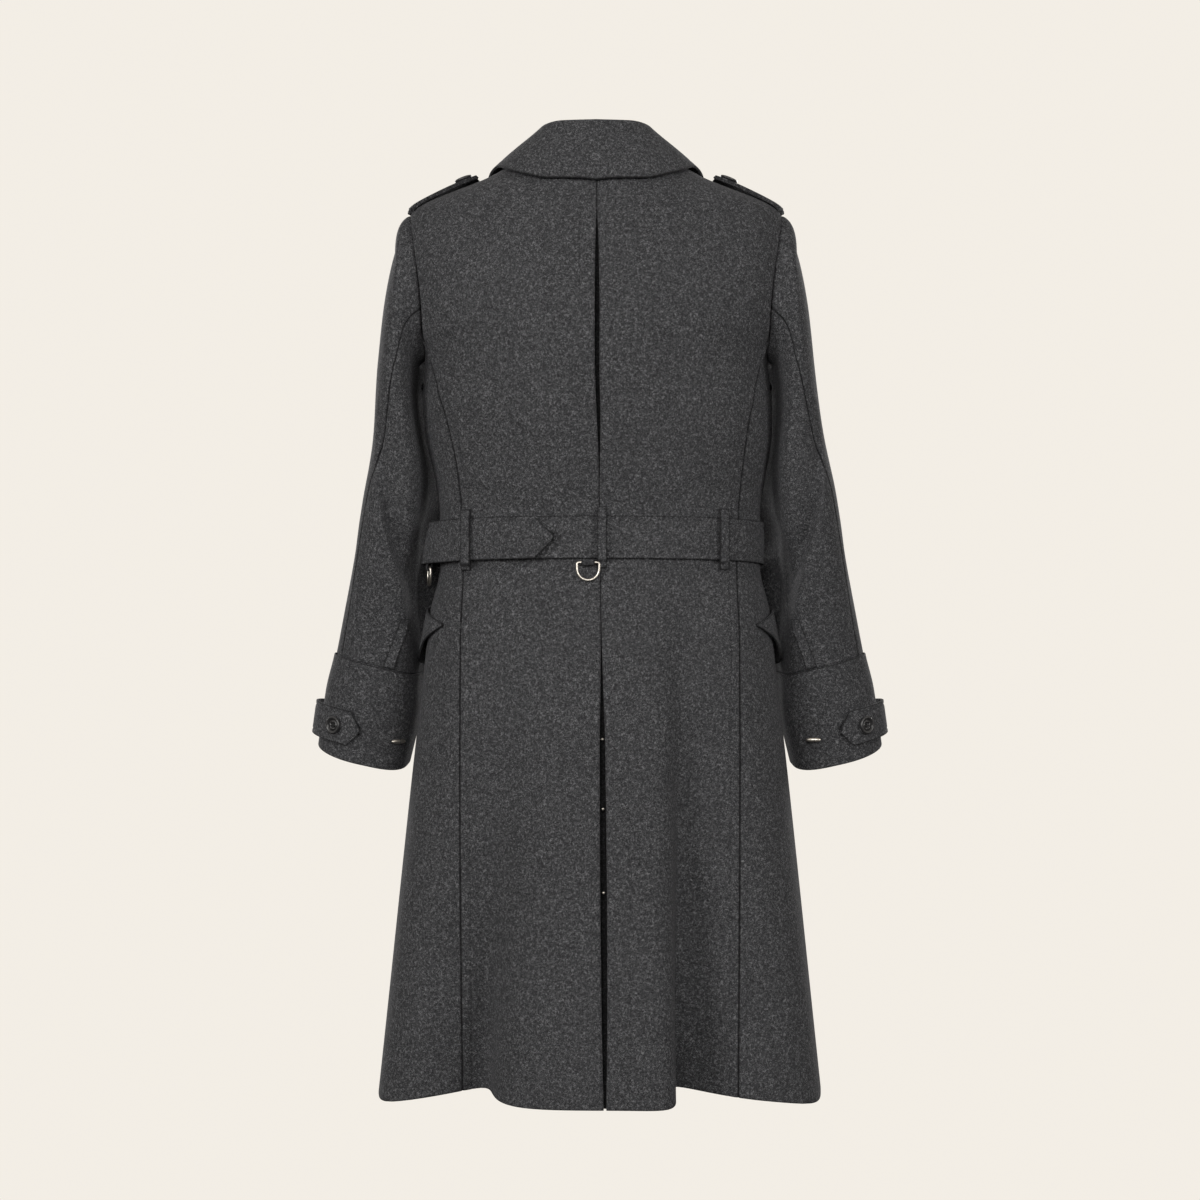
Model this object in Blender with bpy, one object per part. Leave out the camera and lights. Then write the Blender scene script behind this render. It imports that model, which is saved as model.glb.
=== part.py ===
"""Double-breasted wool coat, filled out with no wearer: walls of cloth cut and seamed as a tailor would.

Metres, +Z up. The origin is at the middle of the shoulders, where the wearer carries the coat.
The coat's back faces -Y, its front faces +Y, and the wearer's right side is +X.
"""

import math
from collections import namedtuple

import bmesh
import bpy
from mathutils import Matrix, Vector

# Cloth and seams
CLOTH = 0.002
SEAM = 0.0003
LAY = 0.0005
ROUND = 2 / 2.25

# Room under a piece that lies on a curved panel
CLEAR = 0.0012

# Heights of the cut
NECK_Z = 0.019
SHOULDER_Z = -0.042
UNDERARM_Z = -0.200
PRINCESS_TOP_Z = -0.178
GUSSET_END_Z = -0.315
BREAK_Z = -0.235
HEM_Z = -0.994

# Heights at which every panel is drawn, straight from one to the next
ROWS = [
    0.019, 0.006, -0.008, -0.024, -0.042, -0.075, -0.105, -0.135, -0.165, -0.178, -0.215, -0.235, -0.270,
    -0.315, -0.366, -0.434, -0.470, -0.510, -0.555, -0.610, -0.675, -0.745, -0.815, -0.880, -0.940, -0.994,
]

# The coat's horizontal sections, from neck to hem: half width, and reach to the back and to the front
Section = namedtuple("Section", "z half_width back front")
SECTIONS = [
    Section(0.019, 0.083, 0.060, 0.050),
    Section(0.000, 0.116, 0.074, 0.060),
    Section(-0.042, 0.204, 0.095, 0.078),
    Section(-0.075, 0.212, 0.106, 0.092),
    Section(-0.105, 0.214, 0.115, 0.104),
    Section(-0.135, 0.211, 0.121, 0.114),
    Section(-0.165, 0.204, 0.125, 0.122),
    Section(-0.200, 0.188, 0.127, 0.129),
    Section(-0.245, 0.192, 0.126, 0.134),
    Section(-0.285, 0.190, 0.122, 0.132),
    Section(-0.332, 0.181, 0.113, 0.123),
    Section(-0.372, 0.176, 0.106, 0.114),
    Section(-0.428, 0.176, 0.107, 0.114),
    Section(-0.475, 0.186, 0.117, 0.122),
    Section(-0.538, 0.193, 0.131, 0.132),
    Section(-0.673, 0.208, 0.150, 0.144),
    Section(-0.904, 0.232, 0.174, 0.160),
    Section(-1.010, 0.243, 0.183, 0.167),
]

# How far out the armhole seam runs at each height
Reach = namedtuple("Reach", "z x")
ARMHOLE = [
    Reach(-0.042, 0.204),
    Reach(-0.075, 0.1995),
    Reach(-0.105, 0.1945),
    Reach(-0.135, 0.191),
    Reach(-0.165, 0.189),
    Reach(-0.178, 0.1885),
]
PRINCESS = [
    Reach(-0.178, 0.1885),
    Reach(-0.211, 0.178),
    Reach(-0.266, 0.164),
    Reach(-0.332, 0.153),
    Reach(-0.371, 0.150),
    Reach(-0.434, 0.148),
    Reach(-0.508, 0.150),
    Reach(-1.010, 0.146),
]
# Underarm gusset, from its back edge round to its front edge: how far below the underarm its seam lies
GussetEdge = namedtuple("GussetEdge", "angle drop")
GUSSET = [
    GussetEdge(72.0, 0.006),
    GussetEdge(74.0, 0.060),
    GussetEdge(80.0, 0.079),
    GussetEdge(89.0, 0.088),
    GussetEdge(98.0, 0.079),
    GussetEdge(104.0, 0.060),
    GussetEdge(106.0, 0.006),
]

# The upper part leans a little to the wearer's left
LEAN_X, LEAN_LOW_Z, LEAN_HIGH_Z = -0.0044, -0.340, -0.200

# Skirt folds: where each lies round the coat (0 at the centre back, + to the wearer's right), how it drifts
# on the way down, how far it pushes the cloth at the hem, how wide each flank is, and how it lifts the hem
Fold = namedtuple("Fold", "angle drift push left right top lift")
FOLDS = [
    Fold(-28, -13, -0.064, 10, 15, -0.45, 0.009),
    Fold(-66, -2, 0.008, 11, 12, -0.50, -0.007),
    Fold(26, -1, -0.082, 6, 15, -0.43, 0.010),
    Fold(13, 0, 0.006, 7, 6, -0.50, 0.000),
    Fold(64, 0, 0.011, 13, 12, -0.50, -0.007),
    Fold(112, 4, -0.026, 12, 12, -0.50, 0.003),
    Fold(-114, -4, -0.028, 13, 12, -0.52, 0.003),
    Fold(142, 2, 0.014, 12, 12, -0.55, 0.000),
    Fold(-140, -2, 0.012, 12, 12, -0.55, 0.000),
]
LIFT_TOP_Z = -0.80

# Centre back pleat: the line it follows, how far it gapes, and how it folds under
Slit = namedtuple("Slit", "z x gap")
PLEAT = [
    Slit(0.020, 0.0010, 0.0004),
    Slit(-0.038, 0.0011, 0.0004),
    Slit(-0.090, 0.0012, 0.0036),
    Slit(-0.170, 0.0014, 0.0050),
    Slit(-0.260, 0.0009, 0.0040),
    Slit(-0.345, -0.0008, 0.0004),
    Slit(-0.480, 0.0010, 0.0004),
    Slit(-0.540, 0.0018, 0.0020),
    Slit(-0.620, 0.0026, 0.0044),
    Slit(-0.780, 0.0038, 0.0058),
    Slit(-0.900, 0.0046, 0.0050),
    Slit(-1.010, 0.0052, 0.0018),
]
NOSE_RADIUS = 0.0033
NOSE_STEPS = 4
RETURN_WIDTH = 0.042
UNDERLAY_HALF_WIDTH = 0.046
UNDERLAY_DEPTH = 2 * NOSE_RADIUS + LAY
UNDERLAY_TOP_Z, UNDERLAY_RISE = 0.014, 0.004

# Double-breasted front
OVERLAP = 0.085
OVER_LIFT = 0.0072
OVER_LIFT_NEAR = 0.095
OVER_LIFT_FAR = 0.150
OVER_LIFT_TOP_Z = -0.060
OVER_LIFT_FULL_Z = -0.120
NECK_FRONT_X = 0.066
NECK_FRONT_Z = 0.002
NECK_SIDE_X = 0.085
FRONT_TOP_Z = 0.0165
Lapel = namedtuple("Lapel", "z width")
LAPEL = [
    Lapel(-0.232, 0.004),
    Lapel(-0.180, 0.045),
    Lapel(-0.120, 0.079),
    Lapel(-0.078, 0.098),
    Lapel(-0.060, 0.076),
    Lapel(-0.036, 0.042),
    Lapel(-0.014, 0.012),
]

# Collar, from the centre back round to the front: fold line, outer edge and neck seam
Collar = namedtuple("Collar", "turn fold_x fold_y fold_z edge_x edge_y neck_x neck_y neck_z")
COLLAR = [
    Collar(0.00, 0.000, -0.058, 0.0545, 0.000, -0.0835, 0.000, -0.0600, 0.0196),
    Collar(0.20, 0.038, -0.050, 0.0545, 0.052, -0.0787, 0.036, -0.0530, 0.0196),
    Collar(0.38, 0.0575, -0.026, 0.0525, 0.094, -0.0560, 0.064, -0.0330, 0.0196),
    Collar(0.54, 0.064, 0.000, 0.0440, 0.1125, -0.0060, 0.081, -0.0040, 0.0200),
    Collar(0.70, 0.067, 0.026, 0.0330, 0.1210, 0.0300, 0.078, 0.0240, 0.0195),
    Collar(0.85, 0.068, 0.046, 0.0200, 0.1220, 0.0555, 0.072, 0.0430, 0.0130),
    Collar(1.00, 0.065, 0.062, 0.0060, 0.1140, 0.0724, 0.066, 0.0560, 0.0045),
]
COLLAR_CLOTH = 0.0026
COLLAR_CLEAR = 0.0058
COLLAR_ROLL = 0.004

# Sleeves: outermost and innermost point of each section as seen from the back, its reach to the front
# and back, how far forward its middle lies, and how far its back edge dips.
# The armhole itself is the first section.
Sleeve = namedtuple("Sleeve", "outer_x outer_z inner_x inner_z depth y dip")
SLEEVE = [
    Sleeve(0.2200, -0.082, 0.1960, -0.2090, 0.068, 0.001, 0.000),
    Sleeve(0.2315, -0.136, 0.1985, -0.230, 0.073, 0.002, 0.000),
    Sleeve(0.2395, -0.205, 0.1975, -0.266, 0.073, 0.004, 0.000),
    Sleeve(0.2475, -0.284, 0.1920, -0.316, 0.070, 0.008, 0.000),
    Sleeve(0.2605, -0.350, 0.1945, -0.366, 0.067, 0.014, 0.000),
    Sleeve(0.2740, -0.430, 0.2070, -0.442, 0.063, 0.024, 0.000),
    Sleeve(0.2885, -0.503, 0.2030, -0.524, 0.060, 0.036, 0.001),
    Sleeve(0.3010, -0.562, 0.2060, -0.586, 0.058, 0.046, 0.004),
    Sleeve(0.3105, -0.624, 0.2170, -0.645, 0.057, 0.052, 0.010),
]
ARMHOLE_SEAM, UNDERARM_CLEAR = 0.0006, 0.0030
HEAD_FULLNESS = 0.0065
SLEEVE_END = 8.95
CUFF_TOP = 7.32
CUFF_END = 9.0
CUFF_CLOTH, CUFF_CLEAR = 0.0024, 0.0016
# The sleeve's two seams, as an angle round it (0 outermost, 90 at the back), at each section
SleeveSeam = namedtuple("SleeveSeam", "station back front")
SLEEVE_SEAMS = [
    SleeveSeam(0.0, 112, 268),
    SleeveSeam(2.0, 97, 252),
    SleeveSeam(4.0, 62, 242),
    SleeveSeam(5.0, 40, 240),
    SleeveSeam(7.0, 36, 240),
    SleeveSeam(9.0, 36, 240),
]
# The elbow crease, a ridge that runs from the back seam to the cuff
Crease = namedtuple("Crease", "station angle push width")
ELBOW_CREASE = [
    Crease(3.6, 66, 0.000, 16),
    Crease(4.6, 50, 0.005, 16),
    Crease(5.8, 60, 0.008, 16),
    Crease(6.7, 80, 0.006, 18),
    Crease(7.2, 92, 0.000, 18),
]

# How the sleeve laps round in front of the body on its inner side
LAP = [
    Crease(1.6, 222, 0.000, 30),
    Crease(2.6, 222, 0.009, 30),
    Crease(4.0, 222, 0.017, 30),
    Crease(5.0, 222, 0.022, 30),
    Crease(6.0, 222, 0.024, 30),
    Crease(7.0, 222, 0.018, 30),
    Crease(7.8, 222, 0.010, 30),
    Crease(9.0, 222, 0.004, 30),
]

# Cuff strap, its button, and the metal toggle
STRAP_FROM, STRAP_TO = math.radians(-105), math.radians(84)
STRAP_STATION, STRAP_HALF_WIDTH = 8.47, 0.30
STRAP_POINT, STRAP_POINT_SHARE = 0.10, 0.25
STRAP_CLOTH, STRAP_STAND = 0.0024, 0.0035
CUFF_BUTTON_ANGLE = math.radians(57)
TOGGLE_ANGLES = {"left": math.radians(130), "right": math.radians(113)}
TOGGLE_STATION = 8.44

# Shoulder straps
EPAULETTE_OUT_X, EPAULETTE_TIP_X = 0.2005, 0.128
EPAULETTE_HALF_WIDTH = 0.020
EPAULETTE_CLOTH = 0.0034
EPAULETTE_RISE = 0.0025
EPAULETTE_TAPER, EPAULETTE_POINT = 0.12, 0.55
EPAULETTE_BUTTON_X = 0.142

# Belt, wound from the centre front by the wearer's left, round the back and over itself to a pointed end
BELT_Z, BELT_DROP = -0.397, 0.011
BELT_HALF_WIDTH = 0.0228
BELT_CLOTH = 0.0028
BELT_START, BELT_TIP = math.radians(-177), math.radians(339.9)
BELT_LAYER_FROM, BELT_LAYER_TO = math.radians(158), math.radians(182)
BELT_POINT, BELT_POINT_HALF_WIDTH = 0.020, 0.004
BELT_STEP_GAP, BELT_STEP_RUN = 0.004, 0.05
BELT_SWING, BELT_SWING_TURN, BELT_SWING_WIDTH = 0.013, math.radians(272), math.radians(16)
LOOP_HALF_WIDTH, LOOP_HALF_HEIGHT, LOOP_CLOTH = 0.0052, 0.033, 0.0014
LOOP_STEP = 0.0035
BeltLoop = namedtuple("BeltLoop", "name x layers")
BELT_LOOPS = [
    BeltLoop("belt_loop_left", -0.145, 2),
    BeltLoop("belt_loop_centre", 0.0022, 1),
    BeltLoop("belt_loop_right", 0.134, 1),
]
Ring = namedtuple("Ring", "name x drop out")
D_RINGS = [Ring("back", -0.0125, 0.0042, 0.0058), Ring("left", -0.1745, 0.0042, 0.0120)]
RING_WIRE, RING_HALF_WIDTH, RING_LENGTH = 0.0014, 0.0118, 0.0188
RING_REST = 0.0016
TAB_HALF_WIDTH, TAB_CLOTH = 0.0070, 0.0014

# Underarm eyelet, and the gap round the gusset
GUSSET_TRIM = 0.003
EYELET_Z, EYELET_ANGLE = -0.232, math.radians(80)

# Pocket flap: where its edges run on the way from the pointed back end to the front
FlapEdge = namedtuple("FlapEdge", "angle top bottom stand")
FLAP = [
    FlapEdge(62, -0.4895, -0.4925, 0.0000),
    FlapEdge(78, -0.4800, -0.5080, 0.0010),
    FlapEdge(92, -0.4740, -0.5300, 0.0030),
    FlapEdge(108, -0.4680, -0.5360, 0.0040),
    FlapEdge(132, -0.4600, -0.5240, 0.0015),
]

# Buttons: radius and thickness, and the two columns on the front
COAT_BUTTON, COAT_BUTTON_THICK = 0.0130, 0.0042
CUFF_BUTTON, CUFF_BUTTON_THICK = 0.0100, 0.0036
STUD, STUD_THICK = 0.0016, 0.0030
STUD_ROWS_Z = (-0.610, -0.683, -0.770)
BUTTON_SEAT = 0.0008
BUTTON_COLUMN_X = 0.058
BUTTON_ROWS_Z = (-0.250, -0.330, -0.478, -0.565)

# Finishes: colour, roughness, metallic
FINISHES = {
    "wool": ((0.072, 0.072, 0.076), 0.95, 0.0),
    "horn": ((0.020, 0.020, 0.022), 0.35, 0.0),
    "nickel": ((0.62, 0.60, 0.56), 0.28, 1.0),
    "black_metal": ((0.030, 0.030, 0.032), 0.30, 1.0),
}


def spread(start, end, steps):
    """Evenly spaced values from start to end, both included."""
    return [start + (end - start) * i / steps for i in range(steps + 1)]


def ease(t):
    """0 before 0, 1 after 1, and a smooth step between."""
    t = min(1.0, max(0.0, t))
    return t * t * (3 - 2 * t)


def read(table, column, at):
    """A table's column at a place between its rows, as a smooth curve that doesn't overshoot."""
    keys = [row[0] for row in table]
    values = [getattr(row, column) for row in table]
    if keys[0] > keys[-1]:
        keys.reverse()
        values.reverse()
    if at <= keys[0]:
        return values[0]
    if at >= keys[-1]:
        return values[-1]
    i = next(k for k in range(len(keys) - 1) if keys[k] <= at <= keys[k + 1])
    slopes = [(values[k + 1] - values[k]) / (keys[k + 1] - keys[k]) for k in range(len(keys) - 1)]

    def tangent(k):
        if k == 0 or k == len(keys) - 1:
            return slopes[min(k, len(slopes) - 1)]
        before, after = slopes[k - 1], slopes[k]
        return 0.0 if before * after <= 0 else 2 * before * after / (before + after)

    span = keys[i + 1] - keys[i]
    t = (at - keys[i]) / span
    return (
        values[i] * (1 + 2 * t) * (1 - t) ** 2
        + values[i + 1] * t * t * (3 - 2 * t)
        + span * (tangent(i) * t * (1 - t) ** 2 - tangent(i + 1) * t * t * (1 - t))
    )


def solve(function, low, high):
    """Where a function that changes sign between low and high is zero."""
    rising = function(high) > function(low)
    for _ in range(40):
        middle = (low + high) / 2
        if (function(middle) > 0) == rising:
            high = middle
        else:
            low = middle
    return (low + high) / 2


# The coat's surface

def bump(offset, fold):
    """A fold's cross-section, 1 on its line, with its own width on each flank."""
    width = fold.left if offset < 0 else fold.right
    return math.exp(-((offset / width) ** 2))


def fold_effect(theta, z):
    """How far the skirt folds push the cloth out and lift the hem at a point."""
    push = lift = 0.0
    for fold in FOLDS:
        grown = max(0.0, (fold.top - z) / (fold.top - HEM_Z))
        if grown == 0.0:
            continue
        line = fold.angle + fold.drift * grown
        offset = (math.degrees(theta) - line + 180) % 360 - 180
        share = bump(offset, fold)
        push += fold.push * share * grown**1.25
        lift += fold.lift * share * ease((LIFT_TOP_Z - z) / (LIFT_TOP_Z - HEM_Z))
    return push, lift


def surface(theta, z):
    """The coat's outer surface, without the overlap of the fronts."""
    for above, below in zip(ROWS, ROWS[1:]):
        if below <= z <= above:
            return section(theta, below).lerp(section(theta, above), (z - below) / (above - below))
    return section(theta, z)


def section(theta, z):
    """A point of the coat's section at a height, folds and all."""
    s, c = math.sin(theta), math.cos(theta)
    half_width = read(SECTIONS, "half_width", z)
    depth = read(SECTIONS, "back" if c > 0 else "front", z)
    push, lift = fold_effect(theta, z)
    x = half_width * math.copysign(abs(s) ** ROUND, s) + push * s
    y = -depth * math.copysign(abs(c) ** ROUND, c) - push * c
    return Vector((x, y, z + lift))


def outward(theta, z):
    """The outward normal of the coat's surface."""
    step = 0.002
    round_it = surface(theta + step, z) - surface(theta - step, z)
    up_it = surface(theta, z + step) - surface(theta, z - step)
    return round_it.cross(up_it).normalized()


def skin(theta, z, out=0.0):
    """A point that lies out from the coat's surface, or inside it where out is negative."""
    return surface(theta, z) + outward(theta, z) * out


def back_angle(x, z):
    """The angle round the coat at which its back lies at x."""
    share = min(1.0, abs(x) / read(SECTIONS, "half_width", z)) ** (1 / ROUND)
    return math.copysign(math.asin(share), x)


def front_angle(side, x, z):
    """The angle at which the front lies at x, counted from the side it belongs to, past the centre too."""
    return side * (math.pi - side * back_angle(x, z))


def armhole_angle(z):
    """How far round from the centre back, or the centre front, the armhole seam lies at a height."""
    return abs(back_angle(read(ARMHOLE, "x", z), z))


def princess_angle(side, z):
    """How far round from the centre back a princess seam lies at a height, folds and all."""
    reach = read(PRINCESS, "x", z)
    return solve(lambda theta: side * surface(side * theta, z).x - reach, 0.3, math.pi / 2)


def side_seam():
    """How far round from the centre back the side seam lies."""
    return math.pi - armhole_angle(PRINCESS_TOP_Z)


def armhole_height(theta):
    """The height of the armhole's lower curve, an arc from the back panel round to the front."""
    start = armhole_angle(PRINCESS_TOP_Z)
    share = abs(abs(theta) - math.pi / 2) / (math.pi / 2 - start)
    return UNDERARM_Z + (PRINCESS_TOP_Z - UNDERARM_Z) * min(1.0, share) ** 2.2


def step_aside(theta, z, gap, towards):
    """An angle whose point lies a gap away from theta's, on the side of the angle towards."""
    sign = 1 if towards > theta else -1
    here = surface(theta, z)
    return theta + sign * solve(lambda d: (surface(theta + sign * d, z) - here).length - gap, 0.0, 0.3)


# Building solids

def finish(name):
    """The named finish as a material, made once."""
    made = bpy.data.materials.get(name)
    if made:
        return made
    colour, roughness, metallic = FINISHES[name]
    made = bpy.data.materials.new(name)
    made.use_nodes = True
    shader = made.node_tree.nodes["Principled BSDF"]
    shader.inputs["Base Color"].default_value = (*colour, 1)
    shader.inputs["Roughness"].default_value = roughness
    shader.inputs["Metallic"].default_value = metallic
    made.diffuse_color = (*colour, 1)
    return made


def lean(z):
    """How far the coat leans at a height."""
    return LEAN_X * ease((z - LEAN_LOW_Z) / (LEAN_HIGH_Z - LEAN_LOW_Z))


def add(name, bm, material):
    """A bmesh as a named object with its finish, leaning with the coat, faces outwards, shaded smooth."""
    for vertex in bm.verts:
        vertex.co.x += lean(vertex.co.z)
    bmesh.ops.recalc_face_normals(bm, faces=bm.faces)
    if bm.calc_volume(signed=True) < 0:
        bmesh.ops.reverse_faces(bm, faces=bm.faces)
    mesh = bpy.data.meshes.new(name)
    bm.to_mesh(mesh)
    bm.free()
    mesh.shade_smooth()
    mesh.set_sharp_from_angle(angle=math.radians(40))
    mesh.materials.append(finish(material))
    made = bpy.data.objects.new(name, mesh)
    bpy.context.scene.collection.objects.link(made)
    return made


def wall(name, outer, inner, material="wool", closed=False):
    """A wall of cloth between two grids of points, with its edges. A closed one is a tube."""
    bm = bmesh.new()
    faces_of = [[[bm.verts.new(p) for p in row] for row in grid] for grid in (outer, inner)]
    rows, columns = len(outer), len(outer[0])
    spans = columns if closed else columns - 1
    for grid in faces_of:
        for r in range(rows - 1):
            for c in range(spans):
                d = (c + 1) % columns
                bm.faces.new((grid[r][c], grid[r][d], grid[r + 1][d], grid[r + 1][c]))
    front, back = faces_of
    for r in (0, rows - 1):
        for c in range(spans):
            d = (c + 1) % columns
            bm.faces.new((front[r][c], front[r][d], back[r][d], back[r][c]))
    if not closed:
        for c in (0, columns - 1):
            for r in range(rows - 1):
                bm.faces.new((front[r][c], front[r + 1][c], back[r + 1][c], back[r][c]))
    return add(name, bm, material)


def panel(name, angles, heights, out=0.0, cloth=CLOTH):
    """A wall on the coat's surface. angles(z) gives each row's angles, and out lifts the outer face."""
    lift = out if callable(out) else lambda theta, z: out
    outer = [[skin(t, z, lift(t, z)) for t in angles(z)] for z in heights]
    inner = [[skin(t, z, lift(t, z) - cloth) for t in angles(z)] for z in heights]
    return wall(name, outer, inner)


def turned(name, profile, place, material, sides=10):
    """A round piece, spun from a closed profile of (radius, height) and put in place."""
    bm = bmesh.new()
    points = [bm.verts.new((radius, 0, height)) for radius, height in profile]
    edges = [bm.edges.new((a, b)) for a, b in zip(points, points[1:])]
    bmesh.ops.spin(
        bm, geom=points + edges, cent=(0, 0, 0), axis=(0, 0, 1), angle=math.tau, steps=sides, use_merge=True
    )
    bmesh.ops.remove_doubles(bm, verts=bm.verts, dist=1e-6)
    bm.transform(place)
    return add(name, bm, material)


def placed(point, normal, along=Vector((0, 0, 1))):
    """A frame at a point, with Z along the normal and Y as near as can be to along."""
    z = normal.normalized()
    x = along.cross(z).normalized()
    y = z.cross(x)
    return Matrix.Translation(point) @ Matrix((x, y, z)).transposed().to_4x4()


def button(name, radius, thick, place, material="horn"):
    """A button: a flat back, a rounded rim and a dished face."""
    dish = 0.3 * thick
    profile = [
        (0.0, 0.0),
        (0.80 * radius, 0.0),
        (radius, 0.45 * thick),
        (0.90 * radius, thick),
        (0.66 * radius, thick),
        (0.58 * radius, thick - dish),
        (0.0, thick - dish),
    ]
    return turned(name, profile, place, material)


# Back, sides and underlay

def pleat_edge(side, z):
    """Where the turned edge of a back panel lies at a height."""
    return read(PLEAT, "x", z) + side * read(PLEAT, "gap", z) / 2


def back_limit(side, z):
    """The outer edge of a back panel: shoulder seam, then armhole, then princess seam."""
    if z > SHOULDER_Z:
        limit = math.pi / 2
    elif z >= PRINCESS_TOP_Z:
        limit = armhole_angle(z)
    else:
        limit = princess_angle(side, z)
    return step_aside(side * limit, z, SEAM / 2, 0.0)


def back_row(side, z, columns=7):
    """One row of a back panel, outer and inner points: the pleat's return, its nose, then the cloth."""
    edge = pleat_edge(side, z)
    section = []
    for shift in (RETURN_WIDTH, RETURN_WIDTH / 2):
        section.append((edge + side * shift, 2 * NOSE_RADIUS, 2 * NOSE_RADIUS - CLOTH))
    pairs = [(skin(back_angle(x, z), z, -a), skin(back_angle(x, z), z, -b)) for x, a, b in section]
    for turn in reversed(spread(0, math.pi, NOSE_STEPS)):
        pair = []
        for radius in (NOSE_RADIUS, NOSE_RADIUS - CLOTH):
            x = edge + side * (NOSE_RADIUS - radius * math.sin(turn))
            pair.append(skin(back_angle(x, z), z, -(NOSE_RADIUS - radius * math.cos(turn))))
        pairs.append(tuple(pair))
    start = back_angle(edge + side * NOSE_RADIUS, z)
    for theta in spread(start, back_limit(side, z), columns)[1:]:
        pairs.append((skin(theta, z), skin(theta, z, -CLOTH)))
    return pairs


def make_back(side, name):
    rows = [back_row(side, z) for z in ROWS]
    wall(name, [[a for a, _ in row] for row in rows], [[b for _, b in row] for row in rows])


def make_underlay():
    def angles(z):
        middle = read(PLEAT, "x", z)
        return [back_angle(middle + x, z) for x in spread(-UNDERLAY_HALF_WIDTH, UNDERLAY_HALF_WIDTH, 4)]

    heights = [UNDERLAY_TOP_Z] + ROWS[1:-1] + [HEM_Z + UNDERLAY_RISE]
    panel("pleat_underlay", angles, heights, out=-UNDERLAY_DEPTH)


def side_columns():
    """The side panel's columns at its top: angle and height, round the gusset's lower edge."""
    first = armhole_angle(PRINCESS_TOP_Z)
    columns = [(first, PRINCESS_TOP_Z)]
    for edge in GUSSET:
        theta = math.radians(edge.angle)
        columns.append((theta, armhole_height(theta) - edge.drop))
    return columns + [(side_seam(), PRINCESS_TOP_Z)]


def make_side(side, name):
    """The side panel, from the princess seam round to the side seam, below the armhole and the gusset."""
    columns = side_columns()
    last = side_seam()
    upper = [z for z in ROWS if GUSSET_END_Z <= z <= PRINCESS_TOP_Z]
    lower = [z for z in ROWS if z < GUSSET_END_Z]
    grid = []
    for z in upper:
        down = (PRINCESS_TOP_Z - z) / (PRINCESS_TOP_Z - GUSSET_END_Z)
        row = []
        for k, (theta, top) in enumerate(columns):
            height = top - SEAM + (GUSSET_END_Z - top + SEAM) * down
            row.append((theta if k else princess_angle(side, z), height if k else z))
        grid.append(row)
    foot = [theta for theta, _ in grid[-1]]
    for z in lower:
        start = princess_angle(side, z)
        stretch = (last - start) / (last - foot[0])
        grid.append([(last + (theta - last) * stretch, z) for theta in foot])
    outer, inner = [], []
    for row in grid:
        places = [(step_aside(row[0][0], row[0][1], SEAM / 2, last), row[0][1])]
        places += row[1:-1]
        places.append((step_aside(row[-1][0], row[-1][1], SEAM / 2, 0.0), row[-1][1]))
        outer.append([skin(side * theta, z) for theta, z in places])
        inner.append([skin(side * theta, z, -CLOTH) for theta, z in places])
    wall(name, outer, inner)


def make_gusset(side, mark, rows=3):
    """A rounded piece let in under the arm between the sleeve and the side panel, with its eyelet."""
    middle = math.radians(GUSSET[len(GUSSET) // 2].angle)
    outer, inner = [], []
    for row in range(rows + 1):
        outside, inside = [], []
        for edge in GUSSET:
            theta = math.radians(edge.angle)
            theta += math.copysign(GUSSET_TRIM, middle - theta) if edge.angle != math.degrees(middle) else 0.0
            z = armhole_height(theta) - SEAM - (edge.drop - 2 * SEAM) * row / rows
            outside.append(skin(side * theta, z))
            inside.append(skin(side * theta, z, -CLOTH))
        outer.append(outside)
        inner.append(inside)
    wall("gusset_" + mark, outer, inner)
    theta = side * EYELET_ANGLE
    place = placed(skin(theta, EYELET_Z, 0.0008), outward(theta, EYELET_Z))
    hole, rim, thick = 0.0026, 0.0048, 0.0012
    profile = [(hole, 0.0), (rim, 0.0), (0.8 * rim, thick), (1.15 * hole, thick), (hole, 0.0)]
    turned("eyelet_" + mark, profile, place, "black_metal", sides=10)


# Fronts and lapels

def roll_x(z):
    """The front edge, then the roll line of the lapel, then the neckline, on the wearer's right."""
    if z < BREAK_Z:
        return -OVERLAP
    if z < NECK_FRONT_Z:
        return -OVERLAP + (NECK_FRONT_X + OVERLAP) * (z - BREAK_Z) / (NECK_FRONT_Z - BREAK_Z)
    return NECK_FRONT_X + (NECK_SIDE_X - NECK_FRONT_X) * (z - NECK_FRONT_Z) / (NECK_Z - NECK_FRONT_Z)


def over_lift(side, theta, z):
    """How far the right front stands off, where it lies over the left one."""
    if side < 0:
        return 0.0
    x = surface(theta, z).x
    across = ease((OVER_LIFT_FAR - x) / (OVER_LIFT_FAR - OVER_LIFT_NEAR))
    down = ease((OVER_LIFT_TOP_Z - z) / (OVER_LIFT_TOP_Z - OVER_LIFT_FULL_Z))
    return OVER_LIFT * across * down if math.cos(theta) < 0 else 0.0


def front_limit(side, z):
    """The outer edge of a front: shoulder seam, then armhole, then side seam."""
    if z > SHOULDER_Z:
        limit = math.pi / 2
    elif z >= PRINCESS_TOP_Z:
        limit = math.pi - armhole_angle(z)
    else:
        limit = side_seam()
    return step_aside(side * limit, z, SEAM / 2, side * math.pi)


def make_front(side, name, columns=10):
    heights = [FRONT_TOP_Z] + ROWS[1:]

    def angles(z):
        return spread(front_limit(side, z), front_angle(side, side * roll_x(z), z), columns)

    panel(name, angles, heights, out=lambda theta, z: over_lift(side, theta, z))


def make_lapel(side, name, columns=6):
    """The turned-back edge of a front, lying on it from the roll line out."""
    inside = [z for z in ROWS if LAPEL[0].z < z < LAPEL[-1].z]
    heights = sorted(inside + [row.z for row in LAPEL], reverse=True)

    def angles(z):
        start = roll_x(z)
        end = start + read(LAPEL, "width", z)
        return [front_angle(side, side * x, z) for x in spread(start, end, columns)]

    panel(name, angles, heights, out=lambda theta, z: over_lift(side, theta, z) + CLEAR + CLOTH)


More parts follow.
